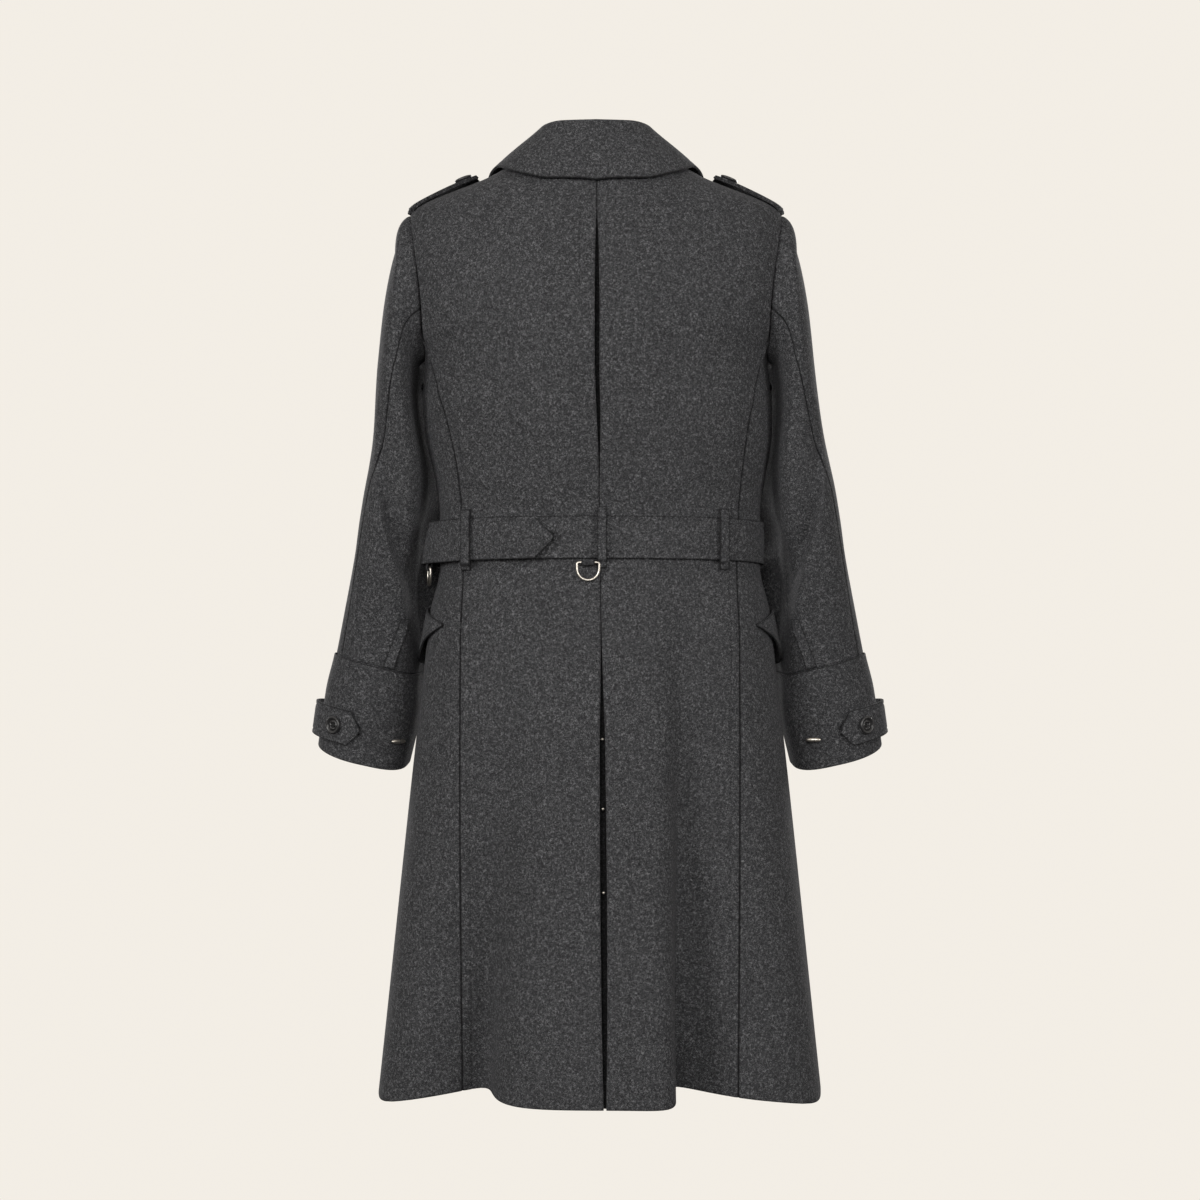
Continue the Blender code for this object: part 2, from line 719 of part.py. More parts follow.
# Collar

def shoulder(x, y):
    """The point of the coat's surface over a point of the shoulders, and the outward direction there."""
    def outside(z):
        depth = read(SECTIONS, "back" if y < 0 else "front", z)
        across = (abs(x) / read(SECTIONS, "half_width", z)) ** (2 / ROUND)
        return across + (abs(y) / depth) ** (2 / ROUND) - 1

    z = solve(outside, -0.12, NECK_Z)
    angle = back_angle(x, z)
    if y > 0:
        angle = math.copysign(math.pi, x) - angle
    return Vector((x, y, z)), outward(angle, z)


def collar_rows(turn):
    """Fold, edge and neck points of the collar at a place between the centre back and the front."""
    side = 1 if turn >= 0 else -1
    at = abs(turn)

    def value(column):
        return read(COLLAR, column, at)

    fold = Vector((side * value("fold_x"), value("fold_y"), value("fold_z")))
    neck = Vector((side * value("neck_x"), value("neck_y"), value("neck_z")))
    edge, normal = shoulder(side * value("edge_x"), value("edge_y"))
    return fold, edge + normal * COLLAR_CLEAR, neck


def sheet_wall(name, points, cloth, material="wool"):
    """A wall with its middle on a grid of points, its thickness across it."""
    rows, columns = len(points), len(points[0])
    outer, inner = [], []
    for r in range(rows):
        outside, inside = [], []
        for c in range(columns):
            along = points[r][min(c + 1, columns - 1)] - points[r][max(c - 1, 0)]
            down = points[min(r + 1, rows - 1)][c] - points[max(r - 1, 0)][c]
            normal = down.cross(along).normalized() * cloth / 2
            outside.append(points[r][c] + normal)
            inside.append(points[r][c] - normal)
        outer.append(outside)
        inner.append(inside)
    return wall(name, outer, inner, material)


def make_collar(columns=22, leaf_rows=4, stand_rows=2):
    """The leaf from the fold line down over the shoulders, and the stand inside it."""
    leaf, stand = [], []
    for turn in spread(-1, 1, columns):
        fold, edge, neck = collar_rows(turn)
        across = (edge - fold).normalized()
        start = fold + across * (COLLAR_CLOTH / 2)
        bend = (start + edge) / 2 + Vector((0, 0, COLLAR_ROLL))
        leaf.append(
            [start * (1 - t) ** 2 + bend * 2 * t * (1 - t) + edge * t * t for t in spread(0, 1, leaf_rows)]
        )
        inwards = Vector((-across.x, -across.y, 0)).normalized()
        top = fold + inwards * (COLLAR_CLOTH + LAY) - Vector((0, 0, COLLAR_CLOTH / 2))
        stand.append([top.lerp(neck, t) for t in spread(0, 1, stand_rows)])
    sheet_wall("collar_leaf", leaf, COLLAR_CLOTH)
    sheet_wall("collar_stand", stand, COLLAR_CLOTH)


# Sleeves

def armhole_corners():
    """The corners of the armhole seam on the wearer's right, down the back and up the front."""
    back = [(armhole_angle(z), z) for z in ROWS if PRINCESS_TOP_Z <= z <= SHOULDER_Z]
    under = [(math.radians(edge.angle), armhole_height(math.radians(edge.angle))) for edge in GUSSET]
    front = [(math.pi - theta, z) for theta, z in reversed(back[1:])]
    return back + under + front


def armhole_turns():
    """Each corner of the armhole with its angle round the sleeve: 0 at the shoulder, 90 at the back."""
    half = (SHOULDER_Z - UNDERARM_Z) / 2
    turns = []
    for theta, z in armhole_corners():
        turn = math.acos(min(1.0, max(-1.0, (z - UNDERARM_Z) / half - 1)))
        if theta > math.pi / 2:
            turn = math.tau - turn
        turns.append((turn, surface(theta, z), outward(theta, z)))
    return turns


ARMHOLE_TURNS = []


def armhole_loop(phi):
    """A point of the armhole seam on the wearer's right, and the body's outward direction there."""
    if not ARMHOLE_TURNS:
        turns = armhole_turns()
        first = turns[0]
        ARMHOLE_TURNS.extend(turns + [(math.tau, first[1], first[2])])
    phi %= math.tau
    for (low, a, m), (high, b, n) in zip(ARMHOLE_TURNS, ARMHOLE_TURNS[1:]):
        if low <= phi <= high:
            t = (phi - low) / max(high - low, 1e-9)
            return a.lerp(b, t), m.lerp(n, t).normalized()
    return ARMHOLE_TURNS[0][1], ARMHOLE_TURNS[0][2]


def sleeve_ring(station, phi):
    """A point of one of the sleeve's sections on the wearer's right."""
    if station == 0:
        return armhole_loop(phi)[0]
    row = SLEEVE[station - 1]
    outer = Vector((row.outer_x, row.y, row.outer_z))
    inner = Vector((row.inner_x, row.y, row.inner_z))
    s, c = math.sin(phi), math.cos(phi)
    across = math.copysign(abs(c) ** ROUND, c)
    depth = -row.depth * math.copysign(abs(s) ** ROUND, s)
    return (outer + inner) / 2 + (outer - inner) / 2 * across + Vector((0, depth, -row.dip * s))


def sleeve_surface(phi, station):
    """The sleeve's outer surface on the wearer's right, smooth from section to section."""
    station = min(max(station, 0.0), float(len(SLEEVE)))
    i = min(int(station), len(SLEEVE) - 1)
    t = station - i
    a, b, c, d = (sleeve_ring(min(max(k, 0), len(SLEEVE)), phi) for k in (i - 1, i, i + 1, i + 2))
    near, far = (c - a) / 2, (d - b) / 2
    point = (
        b * (1 + 2 * t) * (1 - t) ** 2
        + c * t * t * (3 - 2 * t)
        + near * t * (1 - t) ** 2
        - far * t * t * (1 - t)
    )
    back = fold_share(ELBOW_CREASE, phi, station)
    lap = fold_share(LAP, phi, station)
    return point + Vector((math.cos(phi) * back - lap, -math.sin(phi) * back, 0)) + head_push(phi, station)


def fold_share(table, phi, station):
    """How far a fold of the sleeve pushes the cloth at a point."""
    push = read(table, "push", station)
    offset = (math.degrees(phi) - read(table, "angle", station) + 180) % 360 - 180
    return push * math.exp(-((offset / read(table, "width", station)) ** 2))


def head_push(phi, station):
    """The fullness of the sleeve's head, just past the shoulder."""
    full = HEAD_FULLNESS * math.sin(math.pi * min(station, 1.0)) * max(0.0, math.cos(phi)) ** 2
    return Vector((0.75 * full, 0, 0.65 * full))


def sleeve_skin(side, phi, station, out=0.0):
    """A point out from the sleeve's surface. Its edge at the armhole takes the body's own direction."""
    step = 0.02
    point = sleeve_surface(phi, station)
    round_it = sleeve_surface(phi + step, station) - sleeve_surface(phi - step, station)
    down_it = sleeve_surface(phi, station + step) - sleeve_surface(phi, station - step)
    normal = down_it.cross(round_it).normalized()
    if normal.dot(point - sleeve_surface(phi + math.pi, station)) < 0:
        normal.negate()
    if station < 0.01:
        body = armhole_loop(phi)[1]
        normal = normal.lerp(body, ease(normal.dot(body) / 0.6)).normalized()
        away = down_it.normalized()
        point = point + away * ARMHOLE_SEAM + body * UNDERARM_CLEAR * ease(-normal.dot(body))
    point = point + normal * out
    return Vector((side * point.x, point.y, point.z))


def sleeve_wall(side, name, turns, stations, out=0.0, cloth=CLOTH, closed=False):
    """A wall on the sleeve. turns(station) gives each row's angles."""
    outer = [[sleeve_skin(side, phi, s, out) for phi in turns(s)] for s in stations]
    inner = [[sleeve_skin(side, phi, s, out - cloth) for phi in turns(s)] for s in stations]
    return wall(name, outer, inner, closed=closed)


def make_sleeve(side, mark, columns=8):
    """The top sleeve outside and the under sleeve inside, seamed at the back and the front."""
    stations = spread(0, 2, 4) + spread(2, CUFF_TOP, 8)[1:] + spread(CUFF_TOP, SLEEVE_END, 3)[1:]

    def seam(station, column):
        return math.radians(read(SLEEVE_SEAMS, column, station))

    def gap(station):
        ring = sleeve_surface(0, station) - sleeve_surface(math.pi, station)
        return SEAM / max(ring.length, 0.05) * 1.6

    def top(station):
        g = gap(station)
        front = spread(seam(station, "front") - math.tau + g, 0.0, columns // 2)
        return front + spread(0.0, seam(station, "back") - g, columns // 2)[1:]

    def under(station):
        g = gap(station)
        return spread(seam(station, "back") + g, seam(station, "front") - g, columns)

    sleeve_wall(side, "sleeve_top_" + mark, top, stations)
    sleeve_wall(side, "sleeve_under_" + mark, under, stations)


def make_cuff(side, mark, columns=24, rows=3):
    """The deep cuff over the sleeve's end, its strap, button and toggle."""
    face = CUFF_CLEAR + CUFF_CLOTH

    def turns(_station):
        return spread(0, math.tau, columns)[:-1]

    sleeve_wall(
        side, "cuff_" + mark, turns, spread(CUFF_TOP, CUFF_END, rows), out=face, cloth=CUFF_CLOTH, closed=True
    )
    strap_out = face + CLEAR + STRAP_CLOTH
    outer, inner = [], []
    for phi in spread(STRAP_FROM, STRAP_TO, 12) + [STRAP_TO + STRAP_POINT]:
        narrow = 1.0 if phi <= STRAP_TO else STRAP_POINT_SHARE
        stations = [STRAP_STATION + STRAP_HALF_WIDTH * narrow * w for w in spread(-1, 1, 2)]
        face_out = strap_out + strap_stand(phi)
        outer.append([sleeve_skin(side, phi, s, face_out) for s in stations])
        inner.append([sleeve_skin(side, phi, s, face_out - STRAP_CLOTH) for s in stations])
    wall("cuff_strap_" + mark, outer, inner)
    seat = on_sleeve(side, CUFF_BUTTON_ANGLE, STRAP_STATION, strap_out + strap_stand(CUFF_BUTTON_ANGLE) + LAY)
    button("cuff_button_" + mark, CUFF_BUTTON, CUFF_BUTTON_THICK, seat)
    make_toggle(side, mark, face)


def strap_stand(phi):
    """How far the cuff strap stands off the cuff: most at its outer side."""
    return STRAP_STAND * max(0.0, math.cos(phi)) ** 2


def on_sleeve(side, phi, station, out):
    """A frame on the sleeve, with Z outwards."""
    base, tip = sleeve_skin(side, phi, station, out), sleeve_skin(side, phi, station, out + 0.01)
    return placed(base, tip - base)


def make_toggle(side, mark, face):
    """A small metal bar that lies across the back of the cuff."""
    length, thick = 0.0085, 0.0027
    profile = [(0.0, -length)]
    profile += [(thick * math.cos(a), length * math.sin(a)) for a in spread(-1.2, 1.2, 6)]
    profile += [(0.0, length)]
    seat = on_sleeve(side, TOGGLE_ANGLES[mark], TOGGLE_STATION, face + thick + SEAM)
    lying = seat @ Matrix.Rotation(math.radians(90), 4, "Y")
    turned("cuff_toggle_" + mark, profile, lying, "nickel", sides=10)


# Shoulder straps

def make_epaulette(side, mark, columns=8):
    """A strap along the shoulder seam, lifted a little off it towards the collar, with its button."""
    outer, inner = [], []
    stretch = EPAULETTE_OUT_X - EPAULETTE_TIP_X
    for x in spread(EPAULETTE_OUT_X, EPAULETTE_TIP_X, columns):
        along = (EPAULETTE_OUT_X - x) / stretch
        half = EPAULETTE_HALF_WIDTH * (1 - EPAULETTE_TAPER * along)
        if x == EPAULETTE_TIP_X:
            half *= EPAULETTE_POINT
        under = LAY + EPAULETTE_RISE * ease((along - 0.15) / 0.7)
        outside, inside = [], []
        for y in spread(-half, half, 4):
            point, normal = shoulder(side * x, y)
            inside.append(point + normal * under)
            outside.append(point + normal * (under + EPAULETTE_CLOTH))
        outer.append(outside)
        inner.append(inside)
    wall("epaulette_" + mark, outer, inner)
    seat = EPAULETTE_CLOTH + LAY + EPAULETTE_RISE + BUTTON_SEAT
    point, normal = shoulder(side * EPAULETTE_BUTTON_X, 0.0)
    place = placed(point + normal * seat, normal, Vector((0, 1, 0)))
    button("epaulette_button_" + mark, CUFF_BUTTON, CUFF_BUTTON_THICK, place)


# Belt and what hangs on it

def stack(theta, z):
    """How far the coat's outer face stands off its surface, front overlap included, eased past its edge."""
    wrapped = theta % math.tau
    if not math.pi / 2 < wrapped < 3 * math.pi / 2:
        return 0.0
    x = surface(wrapped, z).x
    return over_lift(1, wrapped, z) * (1 - ease((-OVERLAP - BELT_STEP_GAP - x) / BELT_STEP_RUN))


def belt_height(theta):
    """The middle of the belt, which dips from the centre back to the front."""
    return BELT_Z - BELT_DROP * math.sin((theta % math.tau) / 2) ** 2


def belt_out(turn):
    """How far the belt's inner face lies off the coat: its second layer rides on the first."""
    layer = ease((turn - BELT_LAYER_FROM) / (BELT_LAYER_TO - BELT_LAYER_FROM))
    return CLEAR + layer * (BELT_CLOTH + LAY + LAY)


def belt_swing(turn, low):
    """The loose end stands away from the wearer's left side, more at its lower edge."""
    offset = (turn - BELT_SWING_TURN) / BELT_SWING_WIDTH
    return BELT_SWING * math.exp(-offset * offset) * (0.35 + 0.65 * low)


def make_belt(columns=52):
    outer, inner = [], []
    tip_x = skin(BELT_TIP, belt_height(BELT_TIP)).x
    for turn in spread(BELT_START, BELT_TIP, columns) + [None]:
        half = BELT_HALF_WIDTH
        if turn is None:
            turn = back_angle(tip_x + BELT_POINT, BELT_Z) + math.tau
            half = BELT_POINT_HALF_WIDTH
        middle = belt_height(turn)
        outside, inside = [], []
        for share in (1, 0, -1):
            z = middle + half * share
            seat = belt_out(turn) + stack(turn, z) + belt_swing(turn, (1 - share) / 2)
            inside.append(skin(turn, z, seat))
            outside.append(skin(turn, z, seat + BELT_CLOTH))
        outer.append(outside)
        inner.append(inside)
    wall("belt", outer, inner)


def make_belt_loop(loop):
    """A narrow strip sewn above and below the belt, passing over it."""
    theta = back_angle(loop.x, BELT_Z)
    middle = belt_height(theta)
    over = CLEAR + loop.layers * (BELT_CLOTH + LAY + LAY)
    clear = BELT_HALF_WIDTH + CLEAR
    steps = [
        (LOOP_HALF_HEIGHT, LAY),
        (clear + LOOP_STEP, LAY),
        (clear, over),
        (0.0, over),
        (-clear, over),
        (-clear - LOOP_STEP, LAY),
        (-LOOP_HALF_HEIGHT, LAY),
    ]
    outer, inner = [], []
    for up, seat in steps:
        z = middle + up
        edges = [back_angle(loop.x + shift, z) for shift in (-LOOP_HALF_WIDTH, LOOP_HALF_WIDTH)]
        inner.append([skin(t, z, seat) for t in edges])
        outer.append([skin(t, z, seat + LOOP_CLOTH) for t in edges])
    wall(loop.name, outer, inner)


def ring_frame(ring):
    """The frame of a D-ring: origin on its bar, Y down the ring, Z outwards from the coat."""
    z = BELT_Z
    theta = back_angle(ring.x, z)
    z = belt_height(theta) - BELT_HALF_WIDTH - ring.drop
    normal = outward(theta, z)
    lean = Vector((normal.x, normal.y, 0)).normalized()
    bar = skin(theta, z, 0.0) + lean * ring.out
    plumb = bar - Vector((0, 0, RING_LENGTH))
    below = skin(theta, z - RING_LENGTH, 0.0) + lean * (RING_WIRE + RING_REST)
    if (plumb - below).dot(lean) > 0:
        below = plumb
    down = (below - bar).normalized()
    across = lean.cross(Vector((0, 0, 1))).normalized()
    out = across.cross(down).normalized()
    if out.dot(lean) < 0:
        across.negate()
        out.negate()
    return Matrix.Translation(bar) @ Matrix((across, down, out)).transposed().to_4x4()


def make_d_ring(ring, arc_steps=10):
    """A wire ring with a straight bar and a round bow."""
    straight = RING_LENGTH - RING_HALF_WIDTH
    path = [Vector((-RING_HALF_WIDTH, 0, 0)), Vector((RING_HALF_WIDTH, 0, 0))]
    for a in spread(0, math.pi, arc_steps):
        path.append(Vector((RING_HALF_WIDTH * math.cos(a), straight + RING_HALF_WIDTH * math.sin(a), 0)))
    curve = bpy.data.curves.new("d_ring_" + ring.name, "CURVE")
    curve.dimensions = "3D"
    curve.bevel_depth = RING_WIRE
    curve.bevel_resolution = 1
    spline = curve.splines.new("POLY")
    spline.points.add(len(path) - 1)
    for point, place in zip(spline.points, path):
        point.co = (*place, 1)
    spline.use_cyclic_u = True
    curve.materials.append(finish("nickel"))
    made = bpy.data.objects.new("d_ring_" + ring.name, curve)
    made.matrix_world = ring_frame(ring)
    bpy.context.scene.collection.objects.link(made)


def make_tab(ring, bend_steps=6):
    """The strip of cloth that holds a ring's bar, folded round it and sewn behind the belt's lower edge."""
    place = ring_frame(ring)
    hold = RING_WIRE + SEAM
    top = -ring.drop + LAY
    outer, inner = [], []
    for x in spread(-TAB_HALF_WIDTH, TAB_HALF_WIDTH, 2):
        for grid, radius in ((outer, hold + TAB_CLOTH), (inner, hold)):
            section = [Vector((x, top, radius))]
            for a in spread(0, math.pi, bend_steps):
                section.append(Vector((x, radius * math.sin(a), radius * math.cos(a))))
            section.append(Vector((x, top, -radius)))
            grid.append([place @ p for p in section])
    wall("d_ring_tab_" + ring.name, outer, inner)


def make_buckle():
    """A plain slide buckle over the belt at the centre front: a frame with a middle bar."""
    half_width, half_height, bar, thick = 0.030, 0.031, 0.005, 0.0026
    z = belt_height(math.pi)
    seat = stack(math.pi, z) + belt_out(BELT_LAYER_TO) + BELT_CLOTH + SEAM
    place = placed(skin(math.pi, z, seat), outward(math.pi, z))
    bm = bmesh.new()
    cuts_x = [-half_width, -half_width + bar, -bar / 2, bar / 2, half_width - bar, half_width]
    cuts_y = [-half_height, -half_height + bar, half_height - bar, half_height]
    points = [[bm.verts.new((x, y, 0)) for x in cuts_x] for y in cuts_y]
    for r in range(len(cuts_y) - 1):
        for c in range(len(cuts_x) - 1):
            if not (r == 1 and c in (1, 3)):
                bm.faces.new((points[r][c], points[r][c + 1], points[r + 1][c + 1], points[r + 1][c]))
    grown = bmesh.ops.extrude_face_region(bm, geom=bm.faces[:])
    moved = [v for v in grown["geom"] if isinstance(v, bmesh.types.BMVert)]
    bmesh.ops.translate(bm, verts=moved, vec=(0, 0, thick))
    bm.transform(place)
    add("belt_buckle", bm, "horn")


# Pocket flaps and buttons

def make_flap(side, mark, columns=8):
    """The pocket's flap, pointed and sewn down at its back end, loose at its lower edge."""
    thick = 0.0024
    outer, inner = [], []
    for angle in spread(FLAP[0].angle, FLAP[-1].angle, columns):
        theta = side * math.radians(angle)
        top, bottom = read(FLAP, "top", angle), read(FLAP, "bottom", angle)
        stand = read(FLAP, "stand", angle)
        outside, inside = [], []
        for down in spread(0, 1, 3):
            z = top + (bottom - top) * down
            seat = CLEAR + stand * down**1.4
            inside.append(skin(theta, z, seat))
            outside.append(skin(theta, z, seat + thick))
        outer.append(outside)
        inner.append(inside)
    wall("pocket_flap_" + mark, outer, inner)


def make_buttons():
    """Two columns on the front, and three small studs on the underlay inside the pleat."""
    for row, z in enumerate(BUTTON_ROWS_Z, 1):
        for side, mark in SIDES:
            theta = front_angle(side, side * BUTTON_COLUMN_X, z) % math.tau
            place = placed(skin(theta, z, stack(theta, z) + BUTTON_SEAT), outward(theta, z))
            button(f"front_button_{mark}_{row}", COAT_BUTTON, COAT_BUTTON_THICK, place)
    for row, z in enumerate(STUD_ROWS_Z, 1):
        theta = back_angle(read(PLEAT, "x", z), z)
        place = placed(skin(theta, z, -UNDERLAY_DEPTH + SEAM), outward(theta, z))
        dome = [(STUD * math.cos(a), STUD_THICK * math.sin(a)) for a in spread(0, math.pi / 2, 3)]
        turned(f"pleat_stud_{row}", [(0.0, 0.0)] + dome, place, "nickel", sides=8)


SIDES = ((1, "right"), (-1, "left"))


def main():
    for existing in list(bpy.data.objects):
        bpy.data.objects.remove(existing)
    for side, mark in SIDES:
        make_back(side, "back_" + mark)
        make_side(side, "side_" + mark)
        make_front(side, "front_" + mark)
        make_lapel(side, "lapel_" + mark)
        make_sleeve(side, mark)
        make_cuff(side, mark)
        make_epaulette(side, mark)
        make_gusset(side, mark)
        make_flap(side, mark)
    make_underlay()
    make_collar()
    make_belt()
    for loop in BELT_LOOPS:
        make_belt_loop(loop)
    for ring in D_RINGS:
        make_d_ring(ring)
        make_tab(ring)
    make_buckle()
    make_buttons()


main()
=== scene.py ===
# %% [markdown]
# # A double-breasted coat in charcoal wool
# The coat is filled out as if worn, with nobody inside, and is seen from the back. Each piece of cloth is
# cut, laid and seamed the way a tailor would do it: a flat grid is carried onto the coat's form, point by
# point, and then given the thickness of felted wool.
#
# ## The frame
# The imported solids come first. They stay where they are, and every new piece is laid on the same form, so
# the looks and the solids never disagree.

# %% Load the frame
import math
from collections import namedtuple

import bmesh
import bpy
import numpy as np
from mathutils import Matrix, Vector


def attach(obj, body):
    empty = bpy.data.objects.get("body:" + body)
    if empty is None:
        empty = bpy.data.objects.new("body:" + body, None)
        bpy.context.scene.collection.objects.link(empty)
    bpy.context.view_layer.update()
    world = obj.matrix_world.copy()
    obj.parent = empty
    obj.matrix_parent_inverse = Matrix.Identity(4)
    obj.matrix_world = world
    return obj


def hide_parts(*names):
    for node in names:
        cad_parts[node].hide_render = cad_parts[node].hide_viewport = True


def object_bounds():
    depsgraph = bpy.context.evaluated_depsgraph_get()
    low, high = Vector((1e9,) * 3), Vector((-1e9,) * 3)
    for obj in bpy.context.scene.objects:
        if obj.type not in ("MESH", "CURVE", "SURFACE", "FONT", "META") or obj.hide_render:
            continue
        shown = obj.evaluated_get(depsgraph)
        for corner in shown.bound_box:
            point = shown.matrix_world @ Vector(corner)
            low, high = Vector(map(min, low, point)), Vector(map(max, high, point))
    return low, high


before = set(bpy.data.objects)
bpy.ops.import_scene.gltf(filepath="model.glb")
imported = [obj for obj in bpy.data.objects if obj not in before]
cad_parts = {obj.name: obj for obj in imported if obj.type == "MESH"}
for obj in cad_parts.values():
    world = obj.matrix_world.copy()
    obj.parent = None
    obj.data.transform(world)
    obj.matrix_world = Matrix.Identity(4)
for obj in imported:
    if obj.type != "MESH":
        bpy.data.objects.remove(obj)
cad_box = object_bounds()

# %% [markdown]
# ## Camera
# The picture is taken level, from straight behind, with a long lens. The lens is set by the half width that
# the square picture covers in the plane of the shoulders.

# %% Camera
VIEW_DISTANCE, VIEW_HEIGHT, HALF_PICTURE = 3.2, -0.464, 0.66
lens = bpy.data.cameras.new("camera")
lens.angle = 2 * math.atan(HALF_PICTURE / VIEW_DISTANCE)
camera = bpy.data.objects.new("camera", lens)
camera.location = (0, -VIEW_DISTANCE, VIEW_HEIGHT)
camera.rotation_euler = (math.radians(90), 0, 0)
bpy.context.scene.collection.objects.link(camera)
bpy.context.scene.camera = camera
print("lens angle in degrees:", round(math.degrees(lens.angle), 2))

# %% [markdown]
# ## Floor and light
# Two softboxes stand to the left and right of the camera, with a fill beside it. Where the cloth faces the
# lens all three reach it, so it is brightest there, and every edge keeps a thin shadow. The room adds only
# a little, which lets gaps and deep folds go nearly black, and it shows brighter in metal and horn. A
# second pair lights the coat's front. The floor has the same cream as the backdrop. The camera sees it glow
# by itself, because a floor lit by lamps alone would show a horizon.

# %% Floor and light
CREAM = (0.895, 0.852, 0.786, 1)
FLOOR_DROP = 0.035
# The room's strength as it lights cloth, as it shows in metal, and as the camera sees it
ROOM_STRENGTHS = (0.15, 0.75, 1.0)
Lamp = namedtuple("Lamp", "name place size power tint")
LAMPS = [
    Lamp("left softbox", (-2.7, -2.7, 0.5), 1.3, 48.0, (1.0, 0.99, 0.98)),
    Lamp("right softbox", (2.7, -2.7, 0.3), 1.3, 41.0, (1.0, 0.99, 0.98)),
    Lamp("fill", (-0.3, -3.6, 0.3), 1.6, 43.0, (1.0, 0.99, 0.98)),
    Lamp("front left softbox", (-1.7, 3.4, 0.5), 1.3, 56.0, (1.0, 0.99, 0.98)),
    Lamp("front right softbox", (1.7, 3.4, 0.5), 1.3, 56.0, (1.0, 0.99, 0.98)),
]


def light_the_room():
    """A cream room that the camera sees as it is, and the softboxes."""
    bpy.context.scene.view_settings.view_transform = "Standard"
    world = bpy.data.worlds.new("cream room")
    bpy.context.scene.world = world
    world.use_nodes = True
    nodes, links = world.node_tree.nodes, world.node_tree.links
    nodes.clear()
    path, output = nodes.new("ShaderNodeLightPath"), nodes.new("ShaderNodeOutputWorld")
    shades = [nodes.new("ShaderNodeBackground") for _ in range(3)]
    for shade, strength in zip(shades, ROOM_STRENGTHS):
        shade.inputs["Color"].default_value = CREAM
        shade.inputs["Strength"].default_value = strength
    room = shades[0].outputs["Background"]
    for ray, shade in (("Is Glossy Ray", shades[1]), ("Is Camera Ray", shades[2])):
        mix = nodes.new("ShaderNodeMixShader")
        links.new(path.outputs[ray], mix.inputs["Fac"])
        links.new(room, mix.inputs[1])
        links.new(shade.outputs["Background"], mix.inputs[2])
        room = mix.outputs["Shader"]
    links.new(room, output.inputs["Surface"])
    middle = Vector((0, 0, VIEW_HEIGHT))
    for lamp in LAMPS:
        light = bpy.data.lights.new(lamp.name, "AREA")
        light.shape, light.size, light.energy, light.color = "DISK", lamp.size, lamp.power, lamp.tint
        made = bpy.data.objects.new(lamp.name, light)
        made.location = lamp.place
        made.rotation_euler = (middle - made.location).to_track_quat("-Z", "Y").to_euler()
        bpy.context.scene.collection.objects.link(made)


def lay_floor():
    """A wide round floor just under the hem."""
    bm = bmesh.new()
    bmesh.ops.create_circle(bm, cap_ends=True, segments=96, radius=40.0)
    bmesh.ops.translate(bm, verts=bm.verts, vec=(0, 0, cad_box[0][2] - FLOOR_DROP))
    mesh = bpy.data.meshes.new("floor")
    bm.to_mesh(mesh)
    bm.free()
    paint = bpy.data.materials.new("cream floor")
    paint.use_nodes = True
    nodes, links = paint.node_tree.nodes, paint.node_tree.links
    shader = nodes["Principled BSDF"]
    shader.inputs["Base Color"].default_value = (0.10, 0.095, 0.088, 1)
    shader.inputs["Roughness"].default_value = 1.0
    shader.inputs["Specular IOR Level"].default_value = 0.0
    glow, path, mix = (nodes.new("ShaderNode" + kind) for kind in ("Emission", "LightPath", "MixShader"))
    glow.inputs["Color"].default_value = CREAM
    links.new(path.outputs["Is Camera Ray"], mix.inputs["Fac"])
    links.new(shader.outputs["BSDF"], mix.inputs[1])
    links.new(glow.outputs["Emission"], mix.inputs[2])
    links.new(mix.outputs["Shader"], nodes["Material Output"].inputs["Surface"])
    mesh.materials.append(paint)
    floor = bpy.data.objects.new("floor", mesh)
    bpy.context.scene.collection.objects.link(floor)


light_the_room()
lay_floor()
print("lamps:", len(LAMPS))

# %% [markdown]
# ## Felted wool
# The cloth is woven from wool of several greys that was mixed before spinning, then milled and brushed
# until the weave is hidden under short curly fibres. Close to, it is a tangle of dark hollows and pale
# hairs a millimetre or two across. A picture of wool could be wrapped round the coat, but a procedural
# tangle has no seams and keeps its scale everywhere. A fine noise gives the felt, and the lines along which
# three other noises cross their middle value give the curly fibres, broken into short pieces. A slow noise
# keeps large areas from looking sprayed. One group holds all of it, so that the thread and the cloth can
# share it with other values. Along every edge and seam the colour is painted darker, as painted shade for
# the thin shadows that fall there. Each piece of cloth keeps its distance from the nearest edge in a UV map of
# its own for that.

# %% Wool group
def add_socket(group, name, kind, way, value=None):
    """A named socket on a node group."""
    socket = group.interface.new_socket(name=name, in_out=way, socket_type=kind)
    if value is not None:
        socket.default_value = value
    return socket


def noise(tree, vector, scale, detail, roughness, distortion):
    """A noise texture, and its strength as an output."""
    node = tree.nodes.new("ShaderNodeTexNoise")
    values = {"Scale": scale, "Detail": detail, "Roughness": roughness, "Distortion": distortion}
    for name, value in values.items():
        node.inputs[name].default_value = value
    tree.links.new(vector, node.inputs["Vector"])
    return node.outputs["Fac"]


def maths(tree, operation, first, second):
    """A sum or product of two values, each a number or an output."""
    node = tree.nodes.new("ShaderNodeMath")
    node.operation = operation
    for socket, value in zip(node.inputs, (first, second)):
        if isinstance(value, (int, float)):
            socket.default_value = value
        else:
            tree.links.new(value, socket)
    return node.outputs["Value"]


def stretched(tree, vector, turn, scale):
    """Coordinates turned and squeezed, so that a noise on them runs in hairs."""
    node = tree.nodes.new("ShaderNodeMapping")
    node.inputs["Rotation"].default_value = turn
    node.inputs["Scale"].default_value = scale
    tree.links.new(vector, node.inputs["Vector"])
    return node.outputs["Vector"]


